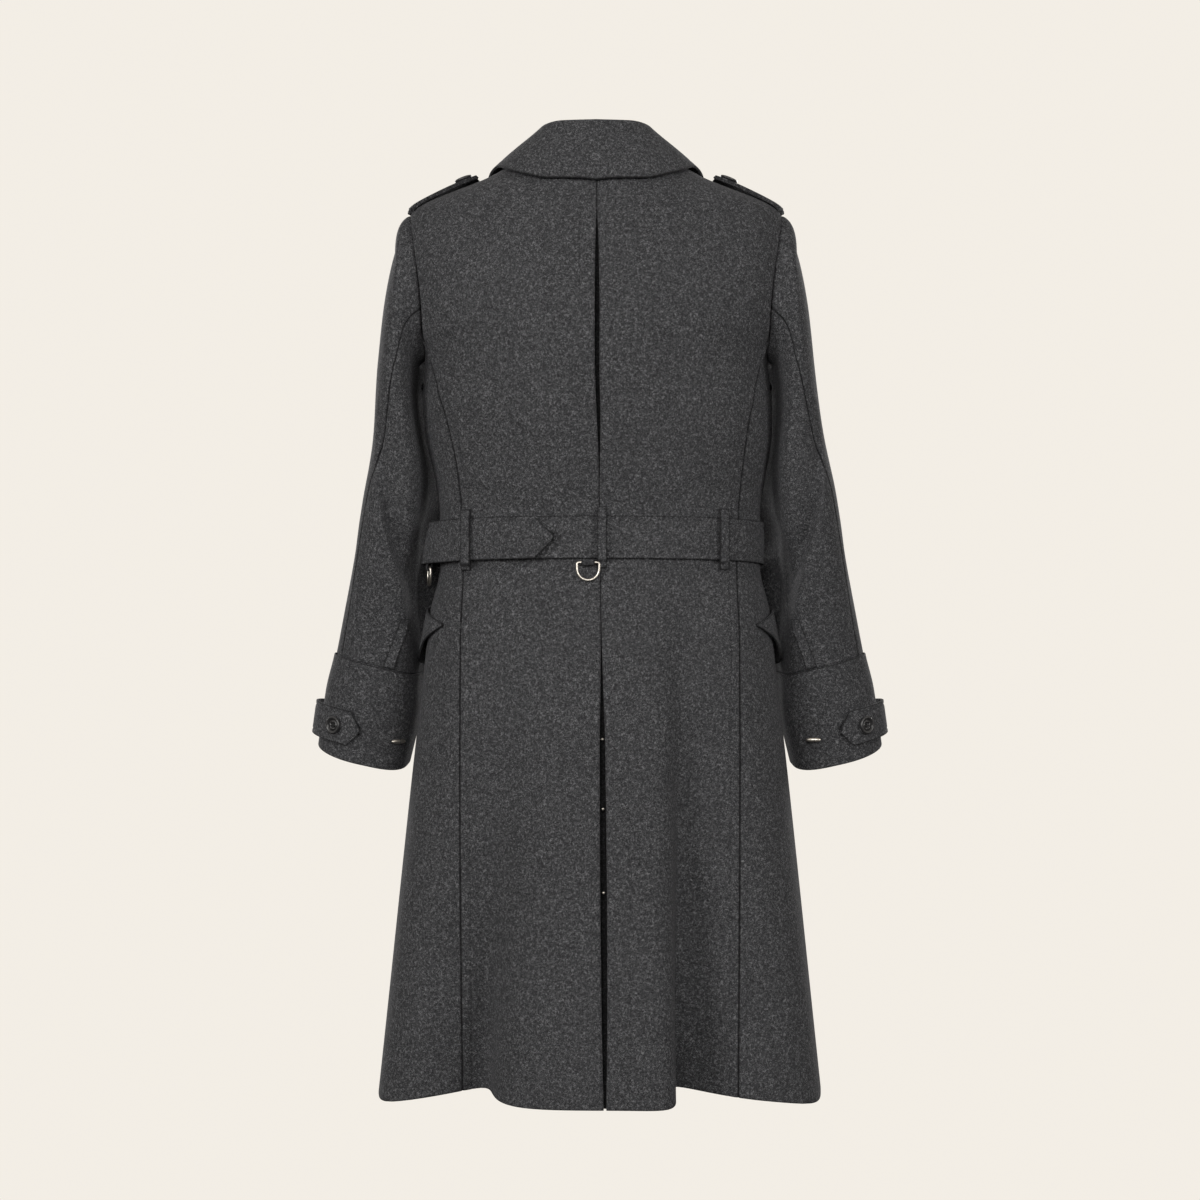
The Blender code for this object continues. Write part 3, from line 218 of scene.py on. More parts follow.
def ramp(tree, value, stops):
    """A colour ramp with its stops as (place, grey)."""
    node = tree.nodes.new("ShaderNodeValToRGB")
    elements = node.color_ramp.elements
    while len(elements) < len(stops):
        elements.new(0.5)
    for element, (place, colour) in zip(elements, stops):
        element.position = place
        element.color = (*colour, 1)
    tree.links.new(value, node.inputs["Fac"])
    return node.outputs["Color"]


HOLLOW, GROUND, MIDDLE, HAIR = (
    (0.0170, 0.0172, 0.0185),
    (0.039, 0.0393, 0.0415),
    (0.074, 0.0745, 0.0785),
    (0.290, 0.291, 0.300),
)
# Fibres: turn of the pattern, scale of the curls, scale of the breaks
FIBRES = [
    ((0.3, 0.5, 0.9), 320.0, 300.0),
    ((0.9, -0.6, 0.2), 380.0, 350.0),
    ((-0.7, 0.8, -0.5), 440.0, 400.0),
]
FIBRE_WIDTH = 0.050


def fibre(tree, place, turn, scale, breaks):
    """Thin curly lines: where a noise crosses its middle, broken into short pieces."""
    turned = stretched(tree, place, turn, (1, 1, 1))
    curls = noise(tree, turned, scale, 0.0, 0.5, 0.9)
    off = maths(tree, "ABSOLUTE", maths(tree, "SUBTRACT", curls, 0.5), 0.0)
    line = maths(tree, "MAXIMUM", maths(tree, "SUBTRACT", 1.0, maths(tree, "DIVIDE", off, FIBRE_WIDTH)), 0.0)
    gate = maths(tree, "SUBTRACT", noise(tree, place, breaks, 0.0, 0.5, 0.4), 0.47)
    gate = maths(tree, "MINIMUM", maths(tree, "MAXIMUM", maths(tree, "MULTIPLY", gate, 7.0), 0.0), 1.0)
    return maths(tree, "MULTIPLY", line, gate)


def build_nap():
    """Colour and height of brushed wool at a place."""
    group = bpy.data.node_groups.new("brushed wool nap", "ShaderNodeTree")
    add_socket(group, "Vector", "NodeSocketVector", "INPUT")
    add_socket(group, "Shade", "NodeSocketFloat", "INPUT", 1.0)
    add_socket(group, "Color", "NodeSocketColor", "OUTPUT")
    add_socket(group, "Height", "NodeSocketFloat", "OUTPUT")
    given, result = group.nodes.new("NodeGroupInput"), group.nodes.new("NodeGroupOutput")
    place = given.outputs["Vector"]
    felt = noise(group, place, 620.0, 2.0, 0.6, 1.2)
    drift = noise(group, place, 10.0, 2.0, 0.5, 0.3)
    ground = maths(group, "ADD", felt, maths(group, "MULTIPLY", maths(group, "SUBTRACT", drift, 0.5), 0.06))
    hairs = [fibre(group, place, *row) for row in FIBRES]
    tangle = maths(group, "MAXIMUM", maths(group, "MAXIMUM", hairs[0], hairs[1]), hairs[2])
    height = maths(group, "ADD", maths(group, "MULTIPLY", felt, 0.5), maths(group, "MULTIPLY", tangle, 0.5))
    mix = group.nodes.new("ShaderNodeMix")
    mix.data_type = "RGBA"
    group.links.new(maths(group, "MULTIPLY", tangle, 0.75), mix.inputs[0])
    group.links.new(ramp(group, ground, ((0.34, HOLLOW), (0.50, GROUND), (0.68, MIDDLE))), mix.inputs[6])
    mix.inputs[7].default_value = (*HAIR, 1)
    shade = group.nodes.new("ShaderNodeVectorMath")
    shade.operation = "SCALE"
    group.links.new(mix.outputs[2], shade.inputs[0])
    group.links.new(given.outputs["Shade"], shade.inputs["Scale"])
    group.links.new(shade.outputs["Vector"], result.inputs["Color"])
    group.links.new(height, result.inputs["Height"])
    return group


# Painted shade along every edge and seam: how far in from the edge it reaches, and the share of the colour
# left at the edge itself.
PAINTED_SHADE_WIDTH, PAINTED_SHADE_FACTOR = 0.0018, 0.26


def woollen(name, shade, depth, painted_edge_shade):
    """A material of brushed wool. When asked, its colour is painted darker along the cloth's edges, as painted
    shade.
    """
    made = bpy.data.materials.new(name)
    made.use_nodes = True
    tree = made.node_tree
    shader = tree.nodes["Principled BSDF"]
    shader.inputs["Roughness"].default_value = 0.92
    shader.inputs["Specular IOR Level"].default_value = 0.18
    shader.inputs["Sheen Weight"].default_value = 0.10
    shader.inputs["Sheen Roughness"].default_value = 0.55
    shader.inputs["Sheen Tint"].default_value = (0.62, 0.62, 0.66, 1)
    where = tree.nodes.new("ShaderNodeTexCoord")
    nap = tree.nodes.new("ShaderNodeGroup")
    nap.node_tree = NAP
    nap.inputs["Shade"].default_value = shade
    # Painted shade: the colour darkens towards each edge and seam, read from the distance in the UV map
    # "edge".
    if painted_edge_shade:
        edge = tree.nodes.new("ShaderNodeUVMap")
        edge.uv_map = "edge"
        apart, edge_shade_node = tree.nodes.new("ShaderNodeSeparateXYZ"), tree.nodes.new("ShaderNodeMapRange")
        edge_shade_node.interpolation_type = "SMOOTHSTEP"
        span = {"From Min": 0.0, "From Max": PAINTED_SHADE_WIDTH, "To Min": PAINTED_SHADE_FACTOR * shade, "To Max": shade}
        for socket, value in span.items():
            edge_shade_node.inputs[socket].default_value = value
        tree.links.new(edge.outputs["UV"], apart.inputs["Vector"])
        tree.links.new(apart.outputs["X"], edge_shade_node.inputs["Value"])
        tree.links.new(edge_shade_node.outputs["Result"], nap.inputs["Shade"])
    bump = tree.nodes.new("ShaderNodeBump")
    bump.inputs["Strength"].default_value = 0.55
    bump.inputs["Distance"].default_value = depth
    tree.links.new(where.outputs["Object"], nap.inputs["Vector"])
    tree.links.new(nap.outputs["Color"], shader.inputs["Base Color"])
    tree.links.new(nap.outputs["Height"], bump.inputs["Height"])
    tree.links.new(bump.outputs["Normal"], shader.inputs["Normal"])
    return made


NAP = build_nap()
# The coat's wool carries the painted edge shade. The underlay's wool is painted far darker, as painted shade
# for the deep slit. The thread is its own darker grey.
WOOL = woollen("charcoal wool", 1.0, 0.0009, True)
UNDERLAY_PAINTED_SHADE = woollen("pleat underlay with painted shade", 0.22, 0.0006, False)
THREAD = woollen("charcoal thread", 0.62, 0.0003, False)
print("wool group:", len(NAP.nodes), "nodes")

# %% [markdown]
# ## Horn and metal
# The buttons and the buckle are black horn: polished, with faint clouds under the shine. The rings, toggles
# and studs are nickel, a warm white metal with a little dulling from handling. The eyelets are blackened
# metal. Each needs only a slow noise for its colour and another for its gloss.

# %% Hard finishes
def hard_finish(name, light, dark, metallic, gloss, scale, coat):
    """A polished material whose colour and gloss vary a little."""
    made = bpy.data.materials.new(name)
    made.use_nodes = True
    tree = made.node_tree
    shader = tree.nodes["Principled BSDF"]
    shader.inputs["Metallic"].default_value = metallic
    shader.inputs["Coat Weight"].default_value = coat
    where = tree.nodes.new("ShaderNodeTexCoord")
    cloud = noise(tree, where.outputs["Object"], scale, 3.0, 0.6, 0.8)
    tree.links.new(ramp(tree, cloud, ((0.35, dark), (0.65, light))), shader.inputs["Base Color"])
    low, high = gloss
    wear = noise(tree, where.outputs["Object"], 4 * scale, 2.0, 0.5, 0.0)
    rough = maths(tree, "ADD", maths(tree, "MULTIPLY", wear, high - low), low)
    tree.links.new(rough, shader.inputs["Roughness"])
    return made


HORN = hard_finish("black horn", (0.034, 0.033, 0.034), (0.015, 0.015, 0.016), 0.0, (0.30, 0.45), 160.0, 0.15)
NICKEL = hard_finish("warm nickel", (0.66, 0.62, 0.56), (0.54, 0.505, 0.455), 1.0, (0.30, 0.42), 240.0, 0.0)
BLACK_METAL = hard_finish(
    "black metal", (0.03, 0.03, 0.032), (0.015, 0.015, 0.016), 1.0, (0.22, 0.38), 300.0, 0.0
)
print("hard finishes:", HORN.name, NICKEL.name, BLACK_METAL.name)

# %% [markdown]
# ## Curves through short tables
# A tailor's block is a few measures at named heights, joined by fair curves. The same tables that shaped
# the solids are used here. The curve through a column never overshoots its rows, and it works on many
# places at once, which keeps the script quick.

# %% Curves
def ease(t):
    """0 before 0, 1 after 1, and a smooth step between."""
    t = np.clip(t, 0.0, 1.0)
    return t * t * (3 - 2 * t)


def along(table, column):
    """The curve through a column of a table, by its first column."""
    keys = np.array([row[0] for row in table], float)
    values = np.array([getattr(row, column) for row in table], float)
    if keys[0] > keys[-1]:
        keys, values = keys[::-1], values[::-1]
    slopes = np.diff(values) / np.diff(keys)
    product, total = slopes[:-1] * slopes[1:], slopes[:-1] + slopes[1:]
    inner = np.where(product > 0, 2 * product / np.where(product > 0, total, 1.0), 0.0)
    lean = np.concatenate((slopes[:1], inner, slopes[-1:]))

    def value(at):
        at = np.clip(np.asarray(at, float), keys[0], keys[-1])
        i = np.clip(np.searchsorted(keys, at, side="right") - 1, 0, len(keys) - 2)
        span = keys[i + 1] - keys[i]
        t = (at - keys[i]) / span
        flat = values[i] * (1 + 2 * t) * (1 - t) ** 2 + values[i + 1] * t * t * (3 - 2 * t)
        return flat + span * (lean[i] * t * (1 - t) ** 2 - lean[i + 1] * t * t * (1 - t))

    return value


def solve(rising, low, high):
    """Where a rising function crosses zero, for many places at once."""
    for _ in range(40):
        middle = (low + high) / 2
        above = rising(middle) > 0
        low, high = np.where(above, low, middle), np.where(above, middle, high)
    return (low + high) / 2


def unit(vectors):
    """The same directions with length 1."""
    return vectors / np.linalg.norm(vectors, axis=-1, keepdims=True)


print("a smooth step at a quarter:", float(ease(0.25)))

# %% [markdown]
# ## The coat's form
# The body is a stack of rounded sections from neck to hem. The skirt falls in a few long folds that grow
# towards the hem. Small creases are listed where cloth works: above the belt, under it, and below
# the arms. They could be simulated, but then they would land anywhere, and these have to lie where they are
# seen.

# %% Form of the body
CLOTH, SEAM, LAY, CLEAR = 0.002, 0.0003, 0.0005, 0.0012
ROUND = 2 / 2.25
NECK_Z, SHOULDER_Z, PRINCESS_TOP_Z, UNDERARM_Z = 0.019, -0.042, -0.178, -0.200
GUSSET_END_Z, BREAK_Z, HEM_Z = -0.315, -0.235, -0.994
Section = namedtuple("Section", "z half_width back front")
SECTIONS = [
    Section(0.019, 0.083, 0.060, 0.050),
    Section(0.000, 0.116, 0.074, 0.060),
    Section(-0.042, 0.204, 0.095, 0.078),
    Section(-0.075, 0.212, 0.106, 0.092),
    Section(-0.105, 0.214, 0.115, 0.104),
    Section(-0.135, 0.211, 0.121, 0.114),
    Section(-0.165, 0.204, 0.125, 0.122),
    Section(-0.200, 0.188, 0.127, 0.129),
    Section(-0.245, 0.192, 0.126, 0.134),
    Section(-0.285, 0.190, 0.122, 0.132),
    Section(-0.332, 0.181, 0.113, 0.123),
    Section(-0.372, 0.176, 0.106, 0.114),
    Section(-0.428, 0.176, 0.107, 0.114),
    Section(-0.475, 0.186, 0.117, 0.122),
    Section(-0.538, 0.193, 0.131, 0.132),
    Section(-0.673, 0.208, 0.150, 0.144),
    Section(-0.904, 0.232, 0.174, 0.160),
    Section(-1.010, 0.243, 0.183, 0.167),
]
Fold = namedtuple("Fold", "angle drift push left right top lift")
FOLDS = [
    Fold(-28, -13, -0.064, 10, 15, -0.45, 0.009),
    Fold(-66, -2, 0.008, 11, 12, -0.50, -0.007),
    Fold(26, -1, -0.082, 6, 15, -0.43, 0.010),
    Fold(13, 0, 0.006, 7, 6, -0.50, 0.000),
    Fold(64, 0, 0.011, 13, 12, -0.50, -0.007),
    Fold(112, 4, -0.026, 12, 12, -0.50, 0.003),
    Fold(-114, -4, -0.028, 13, 12, -0.52, 0.003),
    Fold(142, 2, 0.014, 12, 12, -0.55, 0.000),
    Fold(-140, -2, 0.012, 12, 12, -0.55, 0.000),
]
LIFT_TOP_Z = -0.80
LEAN_X, LEAN_LOW_Z, LEAN_HIGH_Z = -0.0044, -0.340, -0.200
half_width, back_reach, front_reach = (along(SECTIONS, c) for c in ("half_width", "back", "front"))

# Small creases: angle and height of the middle, turn from level, half length, half width, push
Crease = namedtuple("Crease", "angle z turn long wide push")
CREASES = [
    Crease(-49, -0.352, 12, 0.034, 0.006, -0.0016),
    Crease(-33, -0.338, -8, 0.045, 0.009, 0.0013),
    Crease(44, -0.350, -14, 0.036, 0.006, -0.0015),
    Crease(27, -0.333, 6, 0.040, 0.010, 0.0012),
    Crease(-70, -0.330, 24, 0.030, 0.007, -0.0014),
    Crease(72, -0.334, -22, 0.030, 0.007, -0.0014),
    Crease(-14, -0.440, 84, 0.040, 0.007, 0.0010),
    Crease(-38, -0.452, 96, 0.045, 0.008, -0.0012),
    Crease(17, -0.446, 88, 0.045, 0.008, 0.0010),
    Crease(37, -0.450, 82, 0.040, 0.007, -0.0011),
    Crease(-55, -0.235, 38, 0.060, 0.012, 0.0018),
    Crease(54, -0.240, -40, 0.060, 0.012, 0.0018),
    Crease(-28, -0.130, 70, 0.070, 0.016, 0.0012),
    Crease(30, -0.150, 104, 0.080, 0.017, 0.0012),
    Crease(118, -0.335, 14, 0.040, 0.008, -0.0016),
    Crease(-121, -0.340, -12, 0.042, 0.008, -0.0016),
    Crease(136, -0.450, 86, 0.045, 0.009, 0.0012),
    Crease(-138, -0.448, 94, 0.045, 0.009, 0.0012),
    Crease(124, -0.235, 48, 0.060, 0.013, 0.0017),
    Crease(-126, -0.230, -46, 0.060, 0.013, 0.0017),
]
METRES_PER_DEGREE = 0.0030


def skirt_folds(theta, z):
    """How far the folds push the cloth out and lift the hem."""
    push, lift = np.zeros_like(theta), np.zeros_like(theta)
    for fold in FOLDS:
        grown = np.clip((fold.top - z) / (fold.top - HEM_Z), 0.0, None)
        offset = (np.degrees(theta) - fold.angle - fold.drift * grown + 180) % 360 - 180
        share = np.exp(-((offset / np.where(offset < 0, fold.left, fold.right)) ** 2))
        push = push + fold.push * share * grown**1.25
        lift = lift + fold.lift * share * ease((LIFT_TOP_Z - z) / (LIFT_TOP_Z - HEM_Z))
    return push, lift


def creased(theta, z):
    """How far the small creases push the cloth."""
    push = np.zeros_like(theta)
    for crease in CREASES:
        across = ((np.degrees(theta) - crease.angle + 180) % 360 - 180) * METRES_PER_DEGREE
        up = z - crease.z
        turn = math.radians(crease.turn)
        run = across * math.cos(turn) + up * math.sin(turn)
        off = up * math.cos(turn) - across * math.sin(turn)
        push = push + crease.push * np.exp(-((run / crease.long) ** 2) - (off / crease.wide) ** 2)
    return push


def surface(theta, z):
    """The coat's outer surface: theta is 0 at the centre back and grows to the wearer's right."""
    theta, z = np.broadcast_arrays(np.asarray(theta, float), np.asarray(z, float))
    s, c = np.sin(theta), np.cos(theta)
    depth = np.where(c > 0, back_reach(z), front_reach(z))
    push, lift = skirt_folds(theta, z)
    x = half_width(z) * np.sign(s) * np.abs(s) ** ROUND + push * s
    y = -depth * np.sign(c) * np.abs(c) ** ROUND - push * c
    return np.stack((x, y, z + lift), -1)


def outward(theta, z, step=0.002):
    """The outward direction of the surface."""
    theta, z = np.asarray(theta, float), np.asarray(z, float)
    round_it = surface(theta + step, z) - surface(theta - step, z)
    up_it = surface(theta, z + step) - surface(theta, z - step)
    return unit(np.cross(round_it, up_it))


def skin(theta, z, out=0.0):
    """Points that lie out from the surface, creases and all."""
    theta, z = np.broadcast_arrays(np.asarray(theta, float), np.asarray(z, float))
    rise = np.broadcast_to(np.asarray(out, float), theta.shape) + creased(theta, z)
    return surface(theta, z) + outward(theta, z) * rise[..., None]


def leaning(points):
    """The upper part leans a little to the wearer's left."""
    points = np.array(points, float)
    points[..., 0] += LEAN_X * ease((points[..., 2] - LEAN_LOW_Z) / (LEAN_HIGH_Z - LEAN_LOW_Z))
    return points


print("chest from back to front:", round(float(back_reach(-0.2) + front_reach(-0.2)), 3))

# %% [markdown]
# ## Laying a piece of cloth
# Blender can make a flat grid in one step. Each corner of the grid is then carried to its own place on the
# form, and the Solidify modifier gives the cloth its thickness inwards. A small bevel rounds the cut or
# folded edge, as the milled wool does. Columns are spaced by true length along each row, close together at
# a seam, where the cloth dips, and along a row of topstitching, where the thread pulls it in.

# %% Cloth helper
SEAM_DEPTH, SEAM_WIDTH, SEAM_WALL = 0.0023, 0.0008, 0.0020
STITCH_DEPTH, STITCH_WIDTH = 0.0008, 0.0011
PLAIN_EDGE = (0.0, 0.00004, 0.0003, 0.0007, 0.0013, 0.0024, 0.0045)
STITCHED_EDGE = PLAIN_EDGE + (0.0070, 0.0085, 0.0095, 0.0105, 0.0115, 0.0125, 0.0150)
SEAM_TRIM = 0.00003
TOPSTITCH = 0.0105
EDGE_ROUND, EDGE_STEPS = 0.00075, 2
# Weights of the view from behind, with which distances for the painted edge shade are measured.
SEEN_FROM_BEHIND = (1, 0.5, 1)


def seam_dip(distance):
    """How far cloth sinks beside a seam, and turns in at the seam itself."""
    distance = np.abs(distance)
    return -SEAM_DEPTH * np.exp(-distance / SEAM_WIDTH) - np.where(distance < 1e-5, SEAM_WALL, 0.0)


def stitch_dip(distance):
    """How far topstitching pulls the cloth in, by the distance from its line."""
    return -STITCH_DEPTH * np.exp(-((distance / STITCH_WIDTH) ** 2))


def by_length(row_points, starts, ends, near, middle, far):
    """Rows of places between two edges, spaced by true length, and each place's distance from both edges."""
    places, from_start, from_end = [], [], []
    for k, (start, end) in enumerate(zip(starts, ends)):
        t = np.linspace(start, end, 140)
        steps = np.linalg.norm(np.diff(row_points(t, k), axis=0), axis=1)
        run = np.concatenate(([0.0], np.cumsum(steps)))
        fit = min(1.0, 0.45 * run[-1] / max(near[-1], far[-1], 1e-6))
        left, right = SEAM_TRIM + fit * np.array(near), run[-1] - SEAM_TRIM - fit * np.array(far[::-1])
        where = np.concatenate((left, np.linspace(left[-1], right[0], middle + 2)[1:-1], right))
        places.append(np.interp(where, run, t))
        from_start.append(where - SEAM_TRIM)
        from_end.append(run[-1] - SEAM_TRIM - where)
    return np.array(places), np.array(from_start), np.array(from_end)


def keep(name, bm, material, nodes, body="coat"):
    """A bmesh as a finished piece that rides on its body and stands for its solids."""
    mesh = bpy.data.meshes.new(name)
    bm.to_mesh(mesh)
    bm.free()
    mesh.shade_smooth()
    mesh.materials.append(material)
    piece = bpy.data.objects.new(name, mesh)
    bpy.context.scene.collection.objects.link(piece)
    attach(piece, body)
    if nodes:
        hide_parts(*nodes)
    return piece


def from_edge(points, outside, closed):
    """How far each point lies from its nearest edge, for the painted edge shade: along the cloth and more as
    seen from behind.
    """
    nearest = np.full(points.shape[:2], np.inf)
    for axis in (0,) if closed else (0, 1):
        ways, facing = np.diff(points, axis=axis), np.delete(outside, -1, axis=axis)
        ways = ways - (ways * facing).sum(axis=2, keepdims=True) * facing
        steps = np.linalg.norm(ways * SEEN_FROM_BEHIND, axis=2)
        run = np.insert(np.cumsum(steps, axis=axis), 0, 0.0, axis=axis)
        nearest = np.minimum(nearest, np.minimum(run, run.max(axis=axis, keepdims=True) - run))
    return nearest


def carried_grid(points, outside, closed, soft=0.0):
    """A flat grid whose corners are carried to their points, facing the outside."""
    rows, columns = points.shape[:2]
    bm = bmesh.new()
    bm.loops.layers.uv.new("cut")
    bmesh.ops.create_grid(bm, x_segments=columns - 1, y_segments=rows - 1, size=0.5, calc_uvs=True)
    # The UV map "edge" holds each point's distance from its nearest edge, plus soft, and sets the painted edge
    # shade.
    edge, nearest = bm.loops.layers.uv.new("edge"), from_edge(points, outside, closed)
    facing, distance = np.empty((len(bm.verts), 3)), {}
    for vertex in bm.verts:
        column, row = round((vertex.co.x + 0.5) * (columns - 1)), round((vertex.co.y + 0.5) * (rows - 1))
        vertex.co = points[row, column]
        facing[vertex.index] = outside[row, column]
        distance[vertex.index] = float(nearest[row, column]) + soft
    for face in bm.faces:
        for loop in face.loops:
            loop[edge].uv = (distance[loop.vert.index], 0)
    bm.normal_update()
    normals = np.array([vertex.normal for vertex in bm.verts])
    if (normals * facing).sum() < 0:
        bmesh.ops.reverse_faces(bm, faces=bm.faces)
    if closed:
        bmesh.ops.remove_doubles(bm, verts=bm.verts, dist=1e-5)
    return bm


def lay(
    name, points, outside, nodes,
    thick=CLOTH, closed=False, middle=False, edge=EDGE_ROUND, soft=0.0, material=WOOL,
):
    """A piece of cloth on its points, with its thickness inwards, or to both sides of them."""
    bm = carried_grid(leaning(points), outside, closed, soft)
    area = sum(face.calc_area() for face in bm.faces)
    piece = keep(name, bm, material, nodes)
    shell = piece.modifiers.new("thickness", "SOLIDIFY")
    shell.thickness, shell.offset = thick, 0.0 if middle else -1.0
    rim = piece.modifiers.new("soft edge", "BEVEL")
    rim.width, rim.segments, rim.limit_method, rim.angle_limit = edge, EDGE_STEPS, "ANGLE", math.radians(60)
    rim.profile = 0.5
    steps = np.linalg.norm(np.diff(points, axis=1), axis=2).sum(axis=1)
    falls = np.linalg.norm(np.diff(points, axis=0), axis=2).sum(axis=0)
    piece["cut"] = [float(steps.max()), float(falls.max()), area]
    print(name, len(piece.data.vertices), "points,", round(area, 4), "square metres")
    return piece


# %% [markdown]
# Topstitching is a row of short threads, each lying in the groove that it pulls. One small ball, stretched
# along the row, is enough for a thread.

# %% Topstitching
STITCH_PITCH, STITCH_SIZE, STITCH_SINK = 0.0042, (0.0015, 0.00036, 0.00030), 0.0006
stitches = {}


def sew(name, cloth_name, rows):
    """Threads along rows of points, kept with the cloth that they go through."""
    bm = bmesh.new()
    for points, normals in rows:
        points = leaning(points)
        run = np.concatenate(([0.0], np.cumsum(np.linalg.norm(np.diff(points, axis=0), axis=1))))
        at = np.arange(STITCH_PITCH / 2, run[-1], STITCH_PITCH)
        ways = np.gradient(points, run, axis=0)
        spots, ways, ups = (
            np.stack([np.interp(at, run, values[:, k]) for k in range(3)], -1)
            for values in (points, ways, normals)
        )
        for spot, way, up in zip(spots, unit(ways), unit(ups)):
            across = unit(np.cross(up, way))
            axes = (Vector(way), Vector(across), Vector(np.cross(way, across)))
            turned = Matrix(axes).transposed().to_4x4()
            place = Matrix.Translation(Vector(spot)) @ turned @ Matrix.Diagonal((*STITCH_SIZE, 1))
            bmesh.ops.create_uvsphere(bm, u_segments=6, v_segments=4, radius=1.0, matrix=place)
    stitches.setdefault(cloth_name, []).append(keep(name, bm, THREAD, []))


# %% [markdown]
# ## Back
# The back is two panels that meet at the centre in an inverted pleat. Each edge turns under on a round nose
# and runs back behind the panel, so the slit between them opens softly. The outer edge follows the
# shoulder, then the armhole, then the long princess seam, which has a row of topstitching beside it.

# %% Back panels
Reach = namedtuple("Reach", "z x")
ARMHOLE = [
    Reach(-0.042, 0.204),
    Reach(-0.075, 0.1995),
    Reach(-0.105, 0.1945),
    Reach(-0.135, 0.191),
    Reach(-0.165, 0.189),
    Reach(-0.178, 0.1885),
]
PRINCESS = [
    Reach(-0.178, 0.1885),
    Reach(-0.211, 0.178),
    Reach(-0.266, 0.164),
    Reach(-0.332, 0.153),
    Reach(-0.371, 0.150),
    Reach(-0.434, 0.148),
    Reach(-0.508, 0.150),
    Reach(-1.010, 0.146),
]
Slit = namedtuple("Slit", "z x gap")
PLEAT = [
    Slit(0.020, 0.0010, 0.0004),
    Slit(-0.038, 0.0011, 0.0004),
    Slit(-0.090, 0.0012, 0.0036),
    Slit(-0.170, 0.0014, 0.0050),
    Slit(-0.260, 0.0009, 0.0040),
    Slit(-0.345, -0.0008, 0.0004),
    Slit(-0.480, 0.0010, 0.0004),
    Slit(-0.540, 0.0018, 0.0020),
    Slit(-0.620, 0.0026, 0.0056),
    Slit(-0.780, 0.0038, 0.0068),
    Slit(-0.900, 0.0046, 0.0056),
    Slit(-1.010, 0.0052, 0.0020),
]
NOSE_RADIUS, RETURN_WIDTH = 0.0033, 0.042
PLEAT_EDGE = (
    *(0.0, 0.003, 0.007, 0.0110, 0.0122, 0.0132, 0.0142),
    *(0.0155, 0.0185, 0.0198, 0.0208, 0.0218, 0.0230, 0.026),
)
SLIT_STITCH = {-1: (0.0132, -0.030, -0.170), 1: (0.0208, -0.520, -1.0)}
SIDES = ((1, "right"), (-1, "left"))
ARMHOLE_TOP_RUN = 0.013
HEIGHTS = np.concatenate(
    (
        np.linspace(NECK_Z, SHOULDER_Z, 32)[:-1],
        SHOULDER_Z - ARMHOLE_TOP_RUN * np.linspace(0, 1, 16) ** 2,
        np.linspace(SHOULDER_Z - ARMHOLE_TOP_RUN, HEM_Z, 198)[1:],
    )
)
armhole_x, princess_x = along(ARMHOLE, "x"), along(PRINCESS, "x")
slit_x, slit_gap = along(PLEAT, "x"), along(PLEAT, "gap")


def back_angle(x, z):
    """The angle at which the back lies at x."""
    share = np.minimum(1.0, np.abs(x) / half_width(z)) ** (1 / ROUND)
    return np.sign(x) * np.arcsin(share)


def armhole_angle(z):
    """How far round from the centre back the armhole lies."""
    return np.abs(back_angle(armhole_x(z), z))


def princess_angle(side, z):
    """How far round a princess seam lies, folds and all."""
    z = np.asarray(z, float)
    low, high = np.full(z.shape, 0.3), np.full(z.shape, math.pi / 2)
    return solve(lambda theta: side * surface(side * theta, z)[..., 0] - princess_x(z), low, high)


def back_limit(side, z):
    """The outer edge of a back panel."""
    below = np.where(z >= PRINCESS_TOP_Z, armhole_angle(z), princess_angle(side, z))
    return side * np.where(z > SHOULDER_Z, math.pi / 2, below)


def pleat_turn(side, z):
    """Angles and depths of the pleat's return and nose, from the hidden end to the panel."""
    edge = slit_x(z) + side * slit_gap(z) / 2
    x = [edge + side * shift for shift in (RETURN_WIDTH, RETURN_WIDTH / 2, RETURN_WIDTH / 6)]
    out = [np.full_like(z, -2 * NOSE_RADIUS)] * 3
    for turn in np.linspace(math.pi, 0, 10)[:-1]:
        x.append(edge + side * NOSE_RADIUS * (1 - math.sin(turn)))
        out.append(np.full_like(z, -NOSE_RADIUS * (1 - math.cos(turn))))
    return back_angle(np.array(x).T, z[:, None]), np.array(out).T


def make_back(side, mark):
    z = HEIGHTS
    start = back_angle(slit_x(z) + side * (slit_gap(z) / 2 + NOSE_RADIUS), z)
    angle, near, far = by_length(
        lambda t, k: surface(t, z[k]), start, back_limit(side, z), PLEAT_EDGE, 30, STITCHED_EDGE
    )
    level = np.repeat(z[:, None], angle.shape[1], 1)
    offset, top, bottom = SLIT_STITCH[side]
    sewn = np.where((level < top) & (level > bottom), 1.0, 0.0)
    below_arm = ease((PRINCESS_TOP_Z - level) / 0.03)
    out = seam_dip(far) + below_arm * stitch_dip(far - TOPSTITCH) + sewn * stitch_dip(near - offset)
    seam_row = np.array([np.interp(TOPSTITCH, d[::-1], a[::-1]) for d, a in zip(far, angle)])
    slit_row = np.array([np.interp(offset, d, a) for d, a in zip(near, angle)])
    rows = []
    for line, (high, low) in ((seam_row, (PRINCESS_TOP_Z - 0.02, HEM_Z)), (slit_row, (top, bottom))):
        used = (z < high) & (z > low)
        rows.append((skin(line[used], z[used], -STITCH_SINK), outward(line[used], z[used])))
    turn_angle, turn_out = pleat_turn(side, z)
    angle, out = np.hstack((turn_angle, angle)), np.hstack((turn_out, out))
    level = np.repeat(z[:, None], angle.shape[1], 1)
    lay(f"back_{mark}_cloth", skin(angle, level, out), outward(angle, level), [f"back_{mark}"])
    sew(f"back_{mark}_stitches", f"back_{mark}_cloth", rows)


for side, mark in SIDES:
    make_back(side, mark)

